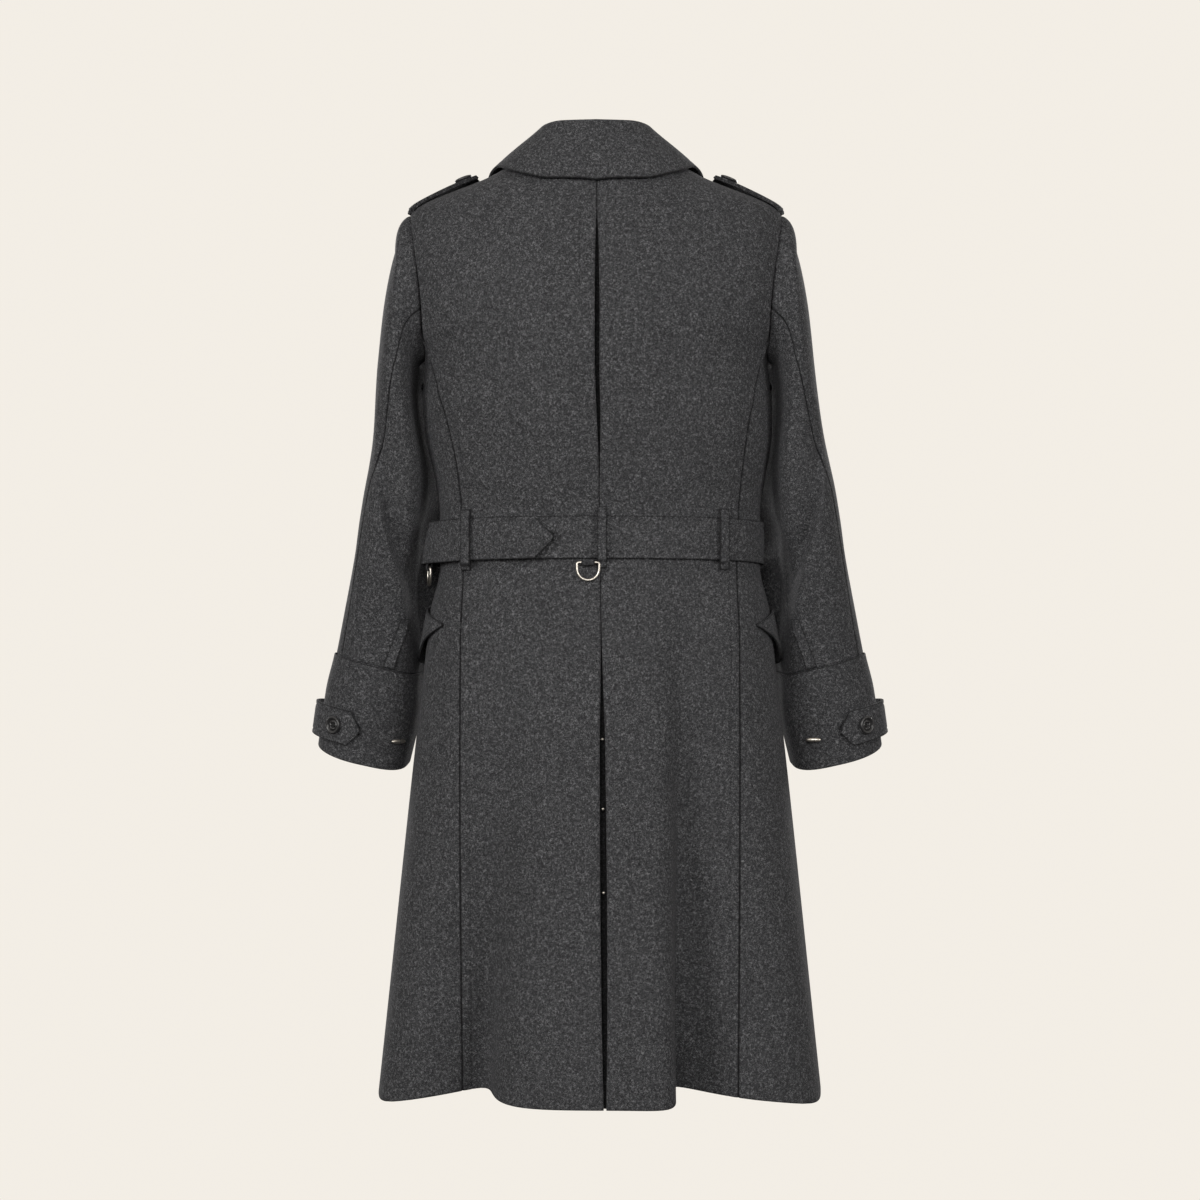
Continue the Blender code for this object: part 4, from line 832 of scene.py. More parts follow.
# %% [markdown]
# Behind the slit lies the underlay of the pleat. It sinks away from the slit where the slit opens, so that
# the opening reads as a deep shadow. Its wool is painted far darker than the coat's, as painted shade for that
# depth.

# %% Pleat underlay
UNDERLAY_HALF_WIDTH, UNDERLAY_DEPTH, UNDERLAY_SINK = 0.046, 2 * NOSE_RADIUS + LAY, 0.0090


def make_underlay():
    z = np.linspace(0.014, HEM_Z + 0.001, 170)
    across = np.linspace(-1, 1, 25)
    angle = back_angle(slit_x(z)[:, None] + UNDERLAY_HALF_WIDTH * across, z[:, None])
    level = np.repeat(z[:, None], len(across), 1)
    sink = UNDERLAY_SINK * np.clip(slit_gap(z) / 0.005, 0, 1)[:, None] * np.exp(-((across / 0.3) ** 2))
    out = -UNDERLAY_DEPTH - sink
    points = skin(angle, level, out)
    # The underlay's material is the wool painted far darker, as painted shade.
    lay("pleat_underlay_cloth", points, outward(angle, level), ["pleat_underlay"], material=UNDERLAY_PAINTED_SHADE)


make_underlay()

# %% [markdown]
# ## Sides and gussets
# A side panel runs from the princess seam round to the side seam. Under the arm a rounded gusset is let in.
# The panel's top edge therefore dips below the gusset, and its upper rows fan out from that edge.

# %% Side panels
GUSSET_ROWS, GUSSET_MIDDLE, GUSSET_TRIM, SIDE_TRIM = 60, math.radians(89.0), 0.0004, 0.0001
GussetEdge = namedtuple("GussetEdge", "place angle drop")
GUSSET = [
    GussetEdge(1, 72.0, 0.006),
    GussetEdge(2, 74.0, 0.060),
    GussetEdge(3, 80.0, 0.079),
    GussetEdge(4, 89.0, 0.088),
    GussetEdge(5, 98.0, 0.079),
    GussetEdge(6, 104.0, 0.060),
    GussetEdge(7, 106.0, 0.006),
]
ARMHOLE_CURVE = 2.2
WEDGE = (0.0, 0.0008, 0.006, 0.014, 0.028, 0.05, 0.09, 0.15, 0.24, 0.36, 0.5, 0.66, 0.83)
SIDE_END = (7.25, 7.5, 7.7, 7.82, 7.9, 7.95, 7.98, 7.997, 8.0)
FAN = np.concatenate(((0.0, 0.003, 0.007, 0.013, 0.022, 0.035), np.linspace(0.05, 1, 40)))
gusset_angle, gusset_drop = along(GUSSET, "angle"), along(GUSSET, "drop")


def armhole_height(theta):
    """The armhole's lower curve, from the back panel round to the front."""
    start = armhole_angle(PRINCESS_TOP_Z)
    share = np.minimum(1.0, np.abs(np.abs(theta) - math.pi / 2) / (math.pi / 2 - start))
    return UNDERARM_Z + (PRINCESS_TOP_Z - UNDERARM_Z) * share**ARMHOLE_CURVE


def side_seam():
    """How far round the side seam lies."""
    return math.pi - float(armhole_angle(PRINCESS_TOP_Z))


def gusset_line(place):
    """Angle and height of the gusset's lower edge, on to the side seam past its end."""
    past = np.clip(place - 7, 0, 1)
    angle = np.radians(gusset_angle(place))
    height = armhole_height(angle) - gusset_drop(place)
    return angle + (side_seam() - angle) * past, height + (PRINCESS_TOP_Z - height) * past


def make_side(side, mark):
    place = np.concatenate((WEDGE, np.linspace(1, 7, 49), SIDE_END))
    top_angle, top_height = gusset_line(np.maximum(place, 1.0))
    down = FAN
    wedge = np.clip(1 - place, 0, 1)
    edge_height = PRINCESS_TOP_Z + (GUSSET_END_Z - PRINCESS_TOP_Z) * down
    level = top_height - SEAM_TRIM + (GUSSET_END_Z - top_height + SEAM_TRIM) * down[:, None]
    level = level + (edge_height[:, None] - level) * wedge
    angle = top_angle + (princess_angle(side, edge_height)[:, None] - top_angle) * wedge
    low = np.linspace(GUSSET_END_Z, HEM_Z, 144)[1:]
    last, foot = side_seam(), angle[-1]
    stretch = (last - princess_angle(side, low)) / (last - foot[0])
    angle = np.vstack((angle, last + (foot - last) * stretch[:, None]))
    level = np.vstack((level, np.repeat(low[:, None], len(place), 1)))
    points = surface(side * angle, level)
    steps = np.linalg.norm(np.diff(points, axis=1), axis=2)
    run = np.hstack((np.zeros((len(level), 1)), np.cumsum(steps, axis=1)))
    out = seam_dip(run) + seam_dip(run[:, -1:] - run)
    edge_angle, edge_level = gusset_line(np.linspace(1, 7, 160))
    edge = surface(side * edge_angle, edge_level)
    upper = points[:GUSSET_ROWS]
    off = np.linalg.norm(upper[:, :, None] - edge[None, None], axis=3).min(axis=2)
    out[:GUSSET_ROWS] = np.minimum(out[:GUSSET_ROWS], seam_dip(off))
    angle[:, :2] += SIDE_TRIM
    angle[:, -2:] -= SIDE_TRIM
    lay(f"side_{mark}_cloth", skin(side * angle, level, out), outward(side * angle, level), [f"side_{mark}"])


def make_gusset(side, mark):
    place = np.linspace(1, 7, 49)
    angle, foot = gusset_line(place)
    angle = angle + GUSSET_TRIM * np.sign(GUSSET_MIDDLE - angle)
    down = np.concatenate((FAN[:6], np.linspace(0.05, 0.95, 20), 1 - FAN[5::-1]))
    top = armhole_height(angle) - SEAM_TRIM
    level = top + (foot + SEAM_TRIM - top) * down[:, None]
    turn = np.repeat(angle[None], len(down), 0)
    points = surface(side * turn, level)
    edge = surface(side * angle, foot)
    off = np.linalg.norm(points[:, :, None] - edge[None, None], axis=3).min(axis=2)
    cloth = skin(side * turn, level, seam_dip(off))
    lay(f"gusset_{mark}_cloth", cloth, outward(side * turn, level), [f"gusset_{mark}"])


for side, mark in SIDES:
    make_side(side, mark)
    make_gusset(side, mark)

# %% [markdown]
# ## Fronts and lapels
# The fronts are hidden from the photograph's side, so they are made plainly, as such a coat has them: the
# wearer's right over the left, with a stitched edge, and lapels turned back from the break.

# %% Fronts
OVERLAP, OVER_LIFT, OVER_NEAR, OVER_FAR = 0.085, 0.0072, 0.095, 0.150
OVER_TOP_Z, OVER_FULL_Z = -0.060, -0.120
NECK_FRONT_X, NECK_FRONT_Z, NECK_SIDE_X, FRONT_TOP_Z = 0.066, 0.002, 0.085, 0.0165
LAPEL_ROLL, LAPEL_ROLL_RUN, LAPEL_STITCH = 0.0016, 0.02, 0.008
Lapel = namedtuple("Lapel", "z width")
LAPEL = [
    Lapel(-0.232, 0.004),
    Lapel(-0.180, 0.045),
    Lapel(-0.120, 0.079),
    Lapel(-0.078, 0.098),
    Lapel(-0.060, 0.076),
    Lapel(-0.036, 0.042),
    Lapel(-0.014, 0.012),
]
lapel_width = along(LAPEL, "width")


def front_angle(side, x, z):
    """The angle at which the front lies at x, past the centre too."""
    return side * (math.pi - side * back_angle(x, z))


def roll_x(z):
    """The front edge, then the lapel's roll line, then the neckline, on the wearer's right."""
    roll = -OVERLAP + (NECK_FRONT_X + OVERLAP) * (z - BREAK_Z) / (NECK_FRONT_Z - BREAK_Z)
    neck = NECK_FRONT_X + (NECK_SIDE_X - NECK_FRONT_X) * (z - NECK_FRONT_Z) / (NECK_Z - NECK_FRONT_Z)
    return np.where(z < BREAK_Z, -OVERLAP, np.where(z < NECK_FRONT_Z, roll, neck))


def over_lift(side, theta, z):
    """How far the right front stands off, where it lies over the left one."""
    if side < 0:
        return np.zeros(np.broadcast(theta, z).shape)
    x = surface(theta, z)[..., 0]
    across = ease((OVER_FAR - x) / (OVER_FAR - OVER_NEAR))
    down = ease((OVER_TOP_Z - z) / (OVER_TOP_Z - OVER_FULL_Z))
    return np.where(np.cos(theta) < 0, OVER_LIFT * across * down, 0.0)


def front_limit(side, z):
    """The outer edge of a front."""
    below = np.where(z >= PRINCESS_TOP_Z, math.pi - armhole_angle(z), side_seam())
    return side * np.where(z > SHOULDER_Z, math.pi / 2, below)


def make_front(side, mark):
    z = HEIGHTS[HEIGHTS < FRONT_TOP_Z]
    end = front_angle(side, side * roll_x(z), z)
    angle, near, far = by_length(
        lambda t, k: surface(t, z[k]), front_limit(side, z), end, PLAIN_EDGE, 44, STITCHED_EDGE
    )
    level = np.repeat(z[:, None], angle.shape[1], 1)
    free = ease((BREAK_Z - level) / 0.02)
    out = over_lift(side, angle, level) + seam_dip(near) + free * stitch_dip(far - TOPSTITCH)
    lay(f"front_{mark}_cloth", skin(angle, level, out), outward(angle, level), [f"front_{mark}"])


def make_lapel(side, mark):
    z = np.linspace(LAPEL[-1].z, LAPEL[0].z, 80)
    share = np.concatenate((np.linspace(0, 0.84, 22), np.linspace(0.86, 1, 9)))
    x = roll_x(z)[:, None] + lapel_width(z)[:, None] * share
    angle = front_angle(side, side * x, z[:, None])
    level = np.repeat(z[:, None], len(share), 1)
    off = lapel_width(z)[:, None] * (1 - share)
    roll = LAPEL_ROLL * np.exp(-((lapel_width(z)[:, None] * share / LAPEL_ROLL_RUN) ** 2))
    out = over_lift(side, angle, level) + CLEAR + CLOTH + roll + stitch_dip(off - LAPEL_STITCH)
    lay(f"lapel_{mark}_cloth", skin(angle, level, out), outward(angle, level), [f"lapel_{mark}"])


for side, mark in SIDES:
    make_front(side, mark)
    make_lapel(side, mark)

# %% [markdown]
# ## Collar
# The collar is one cut of cloth: it stands up from the neck, rolls over at its fold line and falls onto the
# shoulders. It is laid in one sweep, from the neck seam over the roll to the edge, so that the top has no
# seam.

# %% Collar
Collar = namedtuple("Collar", "turn fold_x fold_y fold_z edge_x edge_y neck_x neck_y neck_z")
COLLAR = [
    Collar(0.00, 0.000, -0.058, 0.0545, 0.000, -0.0835, 0.000, -0.0600, 0.0196),
    Collar(0.20, 0.038, -0.050, 0.0545, 0.052, -0.0787, 0.036, -0.0530, 0.0196),
    Collar(0.38, 0.0575, -0.026, 0.0525, 0.092, -0.0560, 0.064, -0.0330, 0.0196),
    Collar(0.54, 0.064, 0.000, 0.0440, 0.1095, -0.0060, 0.081, -0.0040, 0.0200),
    Collar(0.70, 0.067, 0.026, 0.0330, 0.1180, 0.0300, 0.078, 0.0240, 0.0195),
    Collar(0.85, 0.068, 0.046, 0.0200, 0.1220, 0.0555, 0.072, 0.0430, 0.0130),
    Collar(1.00, 0.065, 0.062, 0.0060, 0.1140, 0.0724, 0.066, 0.0560, 0.0045),
]
COLLAR_CLOTH, COLLAR_CLEAR, COLLAR_ROLL = 0.0026, 0.0058, 0.004
COLLAR_PUFF, COLLAR_TURN = 0.0006, 0.0022
COLLAR_STITCH = 0.0095


def shoulder(x, y):
    """The surface over a point of the shoulders, and the outward direction there."""
    x, y = np.broadcast_arrays(np.asarray(x, float), np.asarray(y, float))

    def outside(z):
        depth = np.where(y < 0, back_reach(z), front_reach(z))
        return (np.abs(x) / half_width(z)) ** (2 / ROUND) + (np.abs(y) / depth) ** (2 / ROUND) - 1

    z = solve(outside, np.full(x.shape, -0.12), np.full(x.shape, NECK_Z))
    angle = back_angle(x, z)
    angle = np.where(y > 0, np.sign(x) * math.pi - angle, angle)
    return np.stack((x, y, z), -1), outward(angle, z)


def collar_lines(turn):
    """Fold, edge and neck of the collar from its left end (-1) to its right end (1)."""
    side, at = np.where(turn < 0, -1.0, 1.0), np.abs(turn)
    column = {name: along(COLLAR, name)(at) for name in Collar._fields[1:]}
    fold = np.stack((side * column["fold_x"], column["fold_y"], column["fold_z"]), -1)
    neck = np.stack((side * column["neck_x"], column["neck_y"], column["neck_z"]), -1)
    edge, normal = shoulder(side * column["edge_x"], column["edge_y"])
    return fold, edge + normal * COLLAR_CLEAR, neck


def arc(start, bend, end, steps):
    """A soft curve from start to end, pulled towards bend."""
    t = np.asarray(steps)[:, None, None]
    return start * (1 - t) ** 2 + bend * 2 * t * (1 - t) + end * t * t


def make_collar():
    turn = np.linspace(-1, 1, 131)
    fold, edge, neck = collar_lines(turn)
    across = unit(edge - fold)
    start = fold + across * (COLLAR_CLOTH / 2)
    inwards = unit(-across * (1, 1, 0))
    top = fold + inwards * (COLLAR_CLOTH + LAY) - np.array((0, 0, COLLAR_CLOTH / 2))
    leaf_steps = np.concatenate((np.linspace(0, 0.78, 16), np.linspace(0.80, 1.0, 12)))
    leaf = arc(start, (start + edge) / 2 + np.array((0, 0, COLLAR_ROLL)), edge, leaf_steps)
    width = np.linalg.norm(edge - start, axis=1)
    off = (1 - leaf_steps)[:, None] * width
    lift = stitch_dip(off - COLLAR_STITCH) + COLLAR_PUFF * np.sin(math.pi * leaf_steps)[:, None]
    leaf = leaf + np.array((0, 0, 1)) * lift[..., None]
    over = arc(top, (top + start) / 2 + np.array((0, 0, COLLAR_TURN)), start, np.linspace(0, 1, 9)[1:-1])
    stand = arc(neck, (neck + top) / 2, top, np.linspace(0, 1, 9))
    points = np.concatenate((stand, over, leaf)).transpose(1, 0, 2)
    down, round_it = np.gradient(points, axis=1), np.gradient(points, axis=0)
    outside = unit(np.cross(round_it, down))
    outside = outside * np.sign((outside[:, -6:, 2]).mean())
    lay("collar_cloth", points, outside, ["collar_leaf", "collar_stand"], thick=COLLAR_CLOTH, middle=True)


make_collar()

# %% [markdown]
# ## Sleeves
# A tailored sleeve has two pieces: the top sleeve outside and the narrow under sleeve inside. The armhole
# itself is the first section, so the sleeve grows out of the seam. The back seam runs down the arm, and
# below the elbow a long soft ridge with a hollow beside it carries on to the cuff.

# %% Form of the sleeves
Sleeve = namedtuple("Sleeve", "outer_x outer_z inner_x inner_z depth y dip bend")
SLEEVE = [
    Sleeve(0.2200, -0.082, 0.1960, -0.2090, 0.068, 0.001, 0.000, 0.88),
    Sleeve(0.2315, -0.136, 0.1985, -0.230, 0.073, 0.002, 0.000, 0.84),
    Sleeve(0.2395, -0.205, 0.1975, -0.266, 0.073, 0.004, 0.000, 0.76),
    Sleeve(0.2475, -0.284, 0.1920, -0.316, 0.070, 0.008, 0.000, 0.66),
    Sleeve(0.2605, -0.350, 0.1945, -0.366, 0.067, 0.014, 0.000, 0.60),
    Sleeve(0.2740, -0.430, 0.2070, -0.442, 0.063, 0.024, 0.000, 0.56),
    Sleeve(0.2885, -0.503, 0.2030, -0.524, 0.060, 0.036, 0.001, 0.54),
    Sleeve(0.3010, -0.562, 0.2060, -0.586, 0.058, 0.046, 0.004, 0.54),
    Sleeve(0.3105, -0.624, 0.2170, -0.645, 0.057, 0.052, 0.010, 0.54),
]
SleeveSeam = namedtuple("SleeveSeam", "station back front")
SLEEVE_SEAMS = [
    SleeveSeam(0.0, 112, 268),
    SleeveSeam(2.0, 97, 252),
    SleeveSeam(4.0, 62, 242),
    SleeveSeam(5.0, 40, 240),
    SleeveSeam(7.0, 36, 240),
    SleeveSeam(9.0, 36, 240),
]
ArmFold = namedtuple("ArmFold", "station angle push width")
# The fold behind the elbow: where its edge runs, how high it stands, how deep the hollow beside it is
ArmStep = namedtuple("ArmStep", "z x rise hollow")
ELBOW = [
    ArmStep(-0.225, 0.2300, 0.0000, 0.0000),
    ArmStep(-0.265, 0.2430, 0.0020, 0.0035),
    ArmStep(-0.330, 0.2433, 0.0035, 0.0070),
    ArmStep(-0.384, 0.2348, 0.0060, 0.0110),
    ArmStep(-0.443, 0.2190, 0.0075, 0.0125),
    ArmStep(-0.480, 0.2125, 0.0050, 0.0080),
    ArmStep(-0.520, 0.2060, 0.0000, 0.0000),
]
STEP_RUN, STEP_OUTER, STEP_INNER = 0.008, 0.028, 0.022
LAP = [
    ArmFold(0.8, 222, 0.000, 30),
    ArmFold(1.2, 222, 0.012, 30),
    ArmFold(1.8, 222, 0.015, 30),
    ArmFold(2.6, 222, 0.016, 30),
    ArmFold(4.0, 222, 0.024, 30),
    ArmFold(5.0, 222, 0.034, 30),
    ArmFold(6.0, 222, 0.042, 30),
    ArmFold(6.6, 222, 0.034, 30),
    ArmFold(7.0, 222, 0.022, 30),
    ArmFold(7.8, 222, 0.011, 30),
    ArmFold(9.0, 222, 0.004, 30),
]
# Small creases of the arm: middle, turn from level, half length, half width in metres, push
ArmCrease = namedtuple("ArmCrease", "station angle turn long wide push")
ARM_CREASES = [
    ArmCrease(1.5, 75, 58, 0.050, 0.011, 0.0018),
    ArmCrease(1.9, 105, 50, 0.045, 0.009, -0.0016),
    ArmCrease(4.4, 300, 10, 0.040, 0.009, -0.0022),
    ArmCrease(4.9, 285, -6, 0.038, 0.008, -0.0020),
    ArmCrease(5.3, 315, 8, 0.036, 0.009, 0.0016),
    ArmCrease(6.2, 20, 76, 0.045, 0.010, -0.0012),
    ArmCrease(2.6, 330, 70, 0.060, 0.012, 0.0015),
]
STATION_LENGTH, ARM_METRES_PER_DEGREE = 0.072, 0.0010
ARM_CLEAR, ARM_CLEAR_BELT, BELT_LEVEL, BELT_LEVEL_RUN = 0.005, 0.017, -0.400, 0.038
ARM_SOFT, ARM_FREE_Z, ARM_FREE_RUN = 0.004, -0.212, 0.030
SLEEVE_END, CUFF_TOP, CUFF_END, HEAD_FULLNESS, ARMHOLE_TUCK = 8.95, 7.32, 9.0, 0.0065, 0.0026
sleeve_seam = {name: along(SLEEVE_SEAMS, name) for name in ("back", "front")}


def armhole_loop(phi):
    """Angle and height on the body of the armhole seam: phi is 0 at the shoulder and 90 at the back."""
    phi = np.mod(phi, math.tau)
    z = UNDERARM_Z + (SHOULDER_Z - UNDERARM_Z) / 2 * (1 + np.cos(phi))
    share = np.clip((z - UNDERARM_Z) / (PRINCESS_TOP_Z - UNDERARM_Z), 0, 1) ** (1 / ARMHOLE_CURVE)
    low = math.pi / 2 - share * (math.pi / 2 - armhole_angle(PRINCESS_TOP_Z))
    theta = np.where(z >= PRINCESS_TOP_Z, armhole_angle(np.maximum(z, PRINCESS_TOP_Z)), low)
    return np.where(phi <= math.pi, theta, math.pi - theta), z


def sleeve_ring(row, phi):
    """One of the sleeve's sections on the wearer's right."""
    outer = np.array((row.outer_x, row.y, row.outer_z))
    inner = np.array((row.inner_x, row.y, row.inner_z))
    s, c = np.sin(phi), np.cos(phi)
    bend = np.where((s > 0) & (c < 0), row.bend, ROUND)
    across = (np.sign(c) * np.abs(c) ** bend)[:, None]
    reach = np.stack((0 * s, -row.depth * np.sign(s) * np.abs(s) ** bend, -row.dip * s), -1)
    return (outer + inner) / 2 + (outer - inner) / 2 * across + reach


def arm_fold(table, phi, station):
    """How far a long fold of the sleeve pushes the cloth."""
    offset = (np.degrees(phi) - along(table, "angle")(station) + 180) % 360 - 180
    return along(table, "push")(station) * np.exp(-((offset / along(table, "width")(station)) ** 2))


def elbow_fold(point, phi):
    """How far the fold behind the elbow pushes the cloth back."""
    z = point[..., 2]
    off = point[..., 0] - along(ELBOW, "x")(z)
    down = ease(-off / STEP_RUN)
    rise = along(ELBOW, "rise")(z) * (1 - down) * np.exp(-((np.maximum(off, 0) / STEP_OUTER) ** 2))
    hollow = along(ELBOW, "hollow")(z) * down * np.exp(-((np.maximum(-off - STEP_RUN, 0) / STEP_INNER) ** 2))
    return (rise - hollow) * np.clip(3 * np.sin(phi), 0, 1)


def arm_creased(phi, station):
    """How far the small creases of the arm push the cloth."""
    push = np.zeros_like(phi)
    for crease in ARM_CREASES:
        across = ((np.degrees(phi) - crease.angle + 180) % 360 - 180) * ARM_METRES_PER_DEGREE
        down = (station - crease.station) * STATION_LENGTH
        turn = math.radians(crease.turn)
        run = across * math.cos(turn) + down * math.sin(turn)
        off = down * math.cos(turn) - across * math.sin(turn)
        push = push + crease.push * np.exp(-((run / crease.long) ** 2) - (off / crease.wide) ** 2)
    return push


def beside_body(point):
    """Sleeve points moved out, where needed, until they clear the body and the belt."""
    x, y, z = point[:, 0], point[:, 1], point[:, 2]
    clear = ARM_CLEAR + ARM_CLEAR_BELT * np.exp(-(((z - BELT_LEVEL) / BELT_LEVEL_RUN) ** 2))
    depth = np.where(y < 0, back_reach(z), front_reach(z)) + clear
    share = np.clip(1 - (np.abs(y) / depth) ** (2 / ROUND), 0, 1) ** (ROUND / 2)
    short = (half_width(z) + clear) * share - x
    out = (short + np.sqrt(short**2 + ARM_SOFT**2)) / 2
    return point + np.stack((out * ease((ARM_FREE_Z - z) / ARM_FREE_RUN), 0 * x, 0 * x), -1)


def sleeve_surface(phi, station):
    """The sleeve's outer surface on the wearer's right, smooth from section to section."""
    phi, station = np.broadcast_arrays(np.asarray(phi, float), np.asarray(station, float))
    shape, phi, station = phi.shape, phi.ravel(), np.clip(station.ravel(), 0, len(SLEEVE))
    rings = np.stack([surface(*armhole_loop(phi))] + [sleeve_ring(row, phi) for row in SLEEVE])
    i, n = np.minimum(station.astype(int), len(SLEEVE) - 1), np.arange(len(phi))
    a, b, c, d = (rings[np.clip(i + k, 0, len(SLEEVE)), n] for k in (-1, 0, 1, 2))
    t = (station - i)[:, None]
    point = b * (1 + 2 * t) * (1 - t) ** 2 + c * t * t * (3 - 2 * t)
    point = point + (c - a) / 2 * t * (1 - t) ** 2 - (d - b) / 2 * t * t * (1 - t)
    back, fold, lap = arm_creased(phi, station), elbow_fold(point, phi), arm_fold(LAP, phi, station)
    full = HEAD_FULLNESS * np.sin(math.pi * np.minimum(station, 1)) * np.maximum(0, np.cos(phi)) ** 2
    shift = np.stack((np.cos(phi) * back - lap + 0.75 * full, -np.sin(phi) * back - fold, 0.65 * full), -1)
    return beside_body(point + shift).reshape(shape + (3,))


def sleeve_out(phi, station, step=0.02):
    """The sleeve's outward direction, and the way down it."""
    round_it = sleeve_surface(phi + step, station) - sleeve_surface(phi - step, station)
    down_it = unit(sleeve_surface(phi, station + step) - sleeve_surface(phi, station - step))
    normal = unit(np.cross(down_it, round_it))
    across = sleeve_surface(phi, station) - sleeve_surface(phi + math.pi, station)
    return normal * np.sign((normal * across).sum(-1, keepdims=True)), down_it


def sleeve_skin(side, phi, station, out=0.0):
    """Points out from a sleeve, and the outward direction, on either side."""
    phi, station = np.broadcast_arrays(np.asarray(phi, float), np.asarray(station, float))
    normal, down = sleeve_out(phi, station)
    rise = np.broadcast_to(np.asarray(out, float), phi.shape)[..., None]
    away = -ARMHOLE_TUCK * np.exp(-station / 0.05)[..., None]
    flip = np.array((side, 1, 1))
    return (sleeve_surface(phi, station) + normal * rise + down * away) * flip, normal * flip


print("sleeve reaches down to", round(float(sleeve_surface(0.0, 9.0)[2]), 3))

# %% [markdown]
# Both pieces are laid from the armhole down, with rows close together at the head and just above the cuff. The
# head is tucked a little under the edge of the armhole, so no light comes through the seam.

# %% Sleeves
STATIONS = np.concatenate(
    (
        (0, 0.001),
        np.linspace(0.01, 0.16, 10),
        np.linspace(0.16, 2, 44)[1:],
        np.linspace(2, CUFF_TOP - 0.07, 90)[1:],
        CUFF_TOP - np.array((0.05, 0.035, 0.024, 0.016, 0.010, 0.005, 0.001)),
        np.linspace(CUFF_TOP + 0.05, SLEEVE_END, 24),
    )
)


def make_sleeve(side, mark):
    back, front = (np.radians(sleeve_seam[name](STATIONS)) for name in ("back", "front"))
    spans = {
        "top": (front - math.tau, back, 52),
        "under": (back, front, 84),
    }
    for name, (start, end, columns) in spans.items():
        phi, near, far = by_length(
            lambda t, k: sleeve_surface(t, STATIONS[k]), start, end, PLAIN_EDGE, columns, PLAIN_EDGE
        )
        station = np.repeat(STATIONS[:, None], phi.shape[1], 1)
        ringed = sleeve_surface(phi, station)
        steps = np.linalg.norm(np.diff(ringed, axis=0), axis=2)
        fall = np.vstack((np.zeros((1, phi.shape[1])), np.cumsum(steps, axis=0)))
        out = np.minimum(seam_dip(near), seam_dip(far)) + seam_dip(fall)
        out = out + 0.8 * seam_dip((station - CUFF_TOP) * STATION_LENGTH)
        points, outside = sleeve_skin(side, phi, station, out)
        lay(f"sleeve_{name}_{mark}_cloth", points, outside, [f"sleeve_{name}_{mark}"])


for side, mark in SIDES:
    make_sleeve(side, mark)

# %% [markdown]
# Above each cuff the back of the sleeve is taken in by a short pressed pleat. It is a narrow fold that lies
# on the sleeve, so it is laid as a strip of its own, between two lines that are straight as seen from
# behind.

# %% Pleats above the cuffs
PLEAT_TOP, PLEAT_FOOT, PLEAT_WIDTH = np.array((0.2095, -0.4845)), np.array((0.2265, -0.5420)), 0.0125
PLEAT_CLOTH, PLEAT_STAND, PLEAT_SHORT, PLEAT_TAPER, PLEAT_EDGE_ROUND = 0.0010, 0.0030, 0.04, 0.6, 0.0004


def sleeve_line(down, start, end):
    """The places on the right sleeve along a line that is seen straight from behind."""
    phi, station = np.meshgrid(np.radians(np.linspace(40, 165, 376)), np.linspace(5.5, 7.6, 316))
    seen, places = sleeve_surface(phi, station)[..., (0, 2)], []
    for share in down:
        best = ((seen - (start + (end - start) * share)) ** 2).sum(axis=2).argmin()
        places.append((phi.flat[best], station.flat[best]))
    return np.array([np.polyval(np.polyfit(down, values, 2), down) for values in np.array(places).T])


def make_sleeve_pleat(side, mark):
    down, across = np.linspace(0, 1, 30), np.linspace(0, 1, 9)[None, :]
    inner = sleeve_line(down, PLEAT_TOP, PLEAT_FOOT)[..., None]
    shifts = (PLEAT_WIDTH * PLEAT_TAPER, 0), (PLEAT_WIDTH, 0)
    outer = sleeve_line(down, PLEAT_TOP + shifts[0], PLEAT_FOOT + shifts[1])[..., None]
    phi, station = inner + (outer - inner) * across
    station = np.minimum(station, CUFF_TOP - PLEAT_SHORT)
    out = PLEAT_CLOTH + LAY + PLEAT_STAND * (1 - across) ** 2 * ease(down / 0.3)[:, None]
    points, outside = sleeve_skin(side, phi, station, out)
    lay(f"sleeve_pleat_{mark}_cloth", points, outside, [], thick=PLEAT_CLOTH, edge=PLEAT_EDGE_ROUND)


for side, mark in SIDES:
    make_sleeve_pleat(side, mark)

# %% [markdown]
# ## Cuffs
# A deep cuff is sewn over the end of each sleeve, with a pointed strap round its outer side that is held by
# a button. The strap stands a little off the cuff, which is what draws the dark line under it.

# %% Cuffs and straps
CUFF_CLOTH, CUFF_CLEAR, CUFF_TOP_CLEAR = 0.0018, 0.0022, 0.0004
STRAP_FROM, STRAP_TO, STRAP_POINT, STRAP_POINT_SHARE = math.radians(-105), math.radians(74), 0.20, 0.12
STRAP_STATION, STRAP_HALF_WIDTH, STRAP_CLOTH, STRAP_STAND = 8.47, 0.25, 0.0030, 0.0045
STRAP_SLANT = 0.06
CUFF_FACE = CUFF_CLEAR + CUFF_CLOTH
STRAP_FACE = CUFF_FACE + CLEAR + STRAP_CLOTH


def strap_stand(phi):
    """How far the strap stands off the cuff."""
    return STRAP_STAND * np.maximum(0.0, np.cos(phi)) ** 2


def strap_middle(phi):
    """The strap's middle line, which rises a little towards its point."""
    return STRAP_STATION - STRAP_SLANT * np.sin(phi)


def strap_half(phi):
    """The strap's half width, which runs to a point."""
    return STRAP_HALF_WIDTH * (1 - (1 - STRAP_POINT_SHARE) * np.clip((phi - STRAP_TO) / STRAP_POINT, 0, 1))


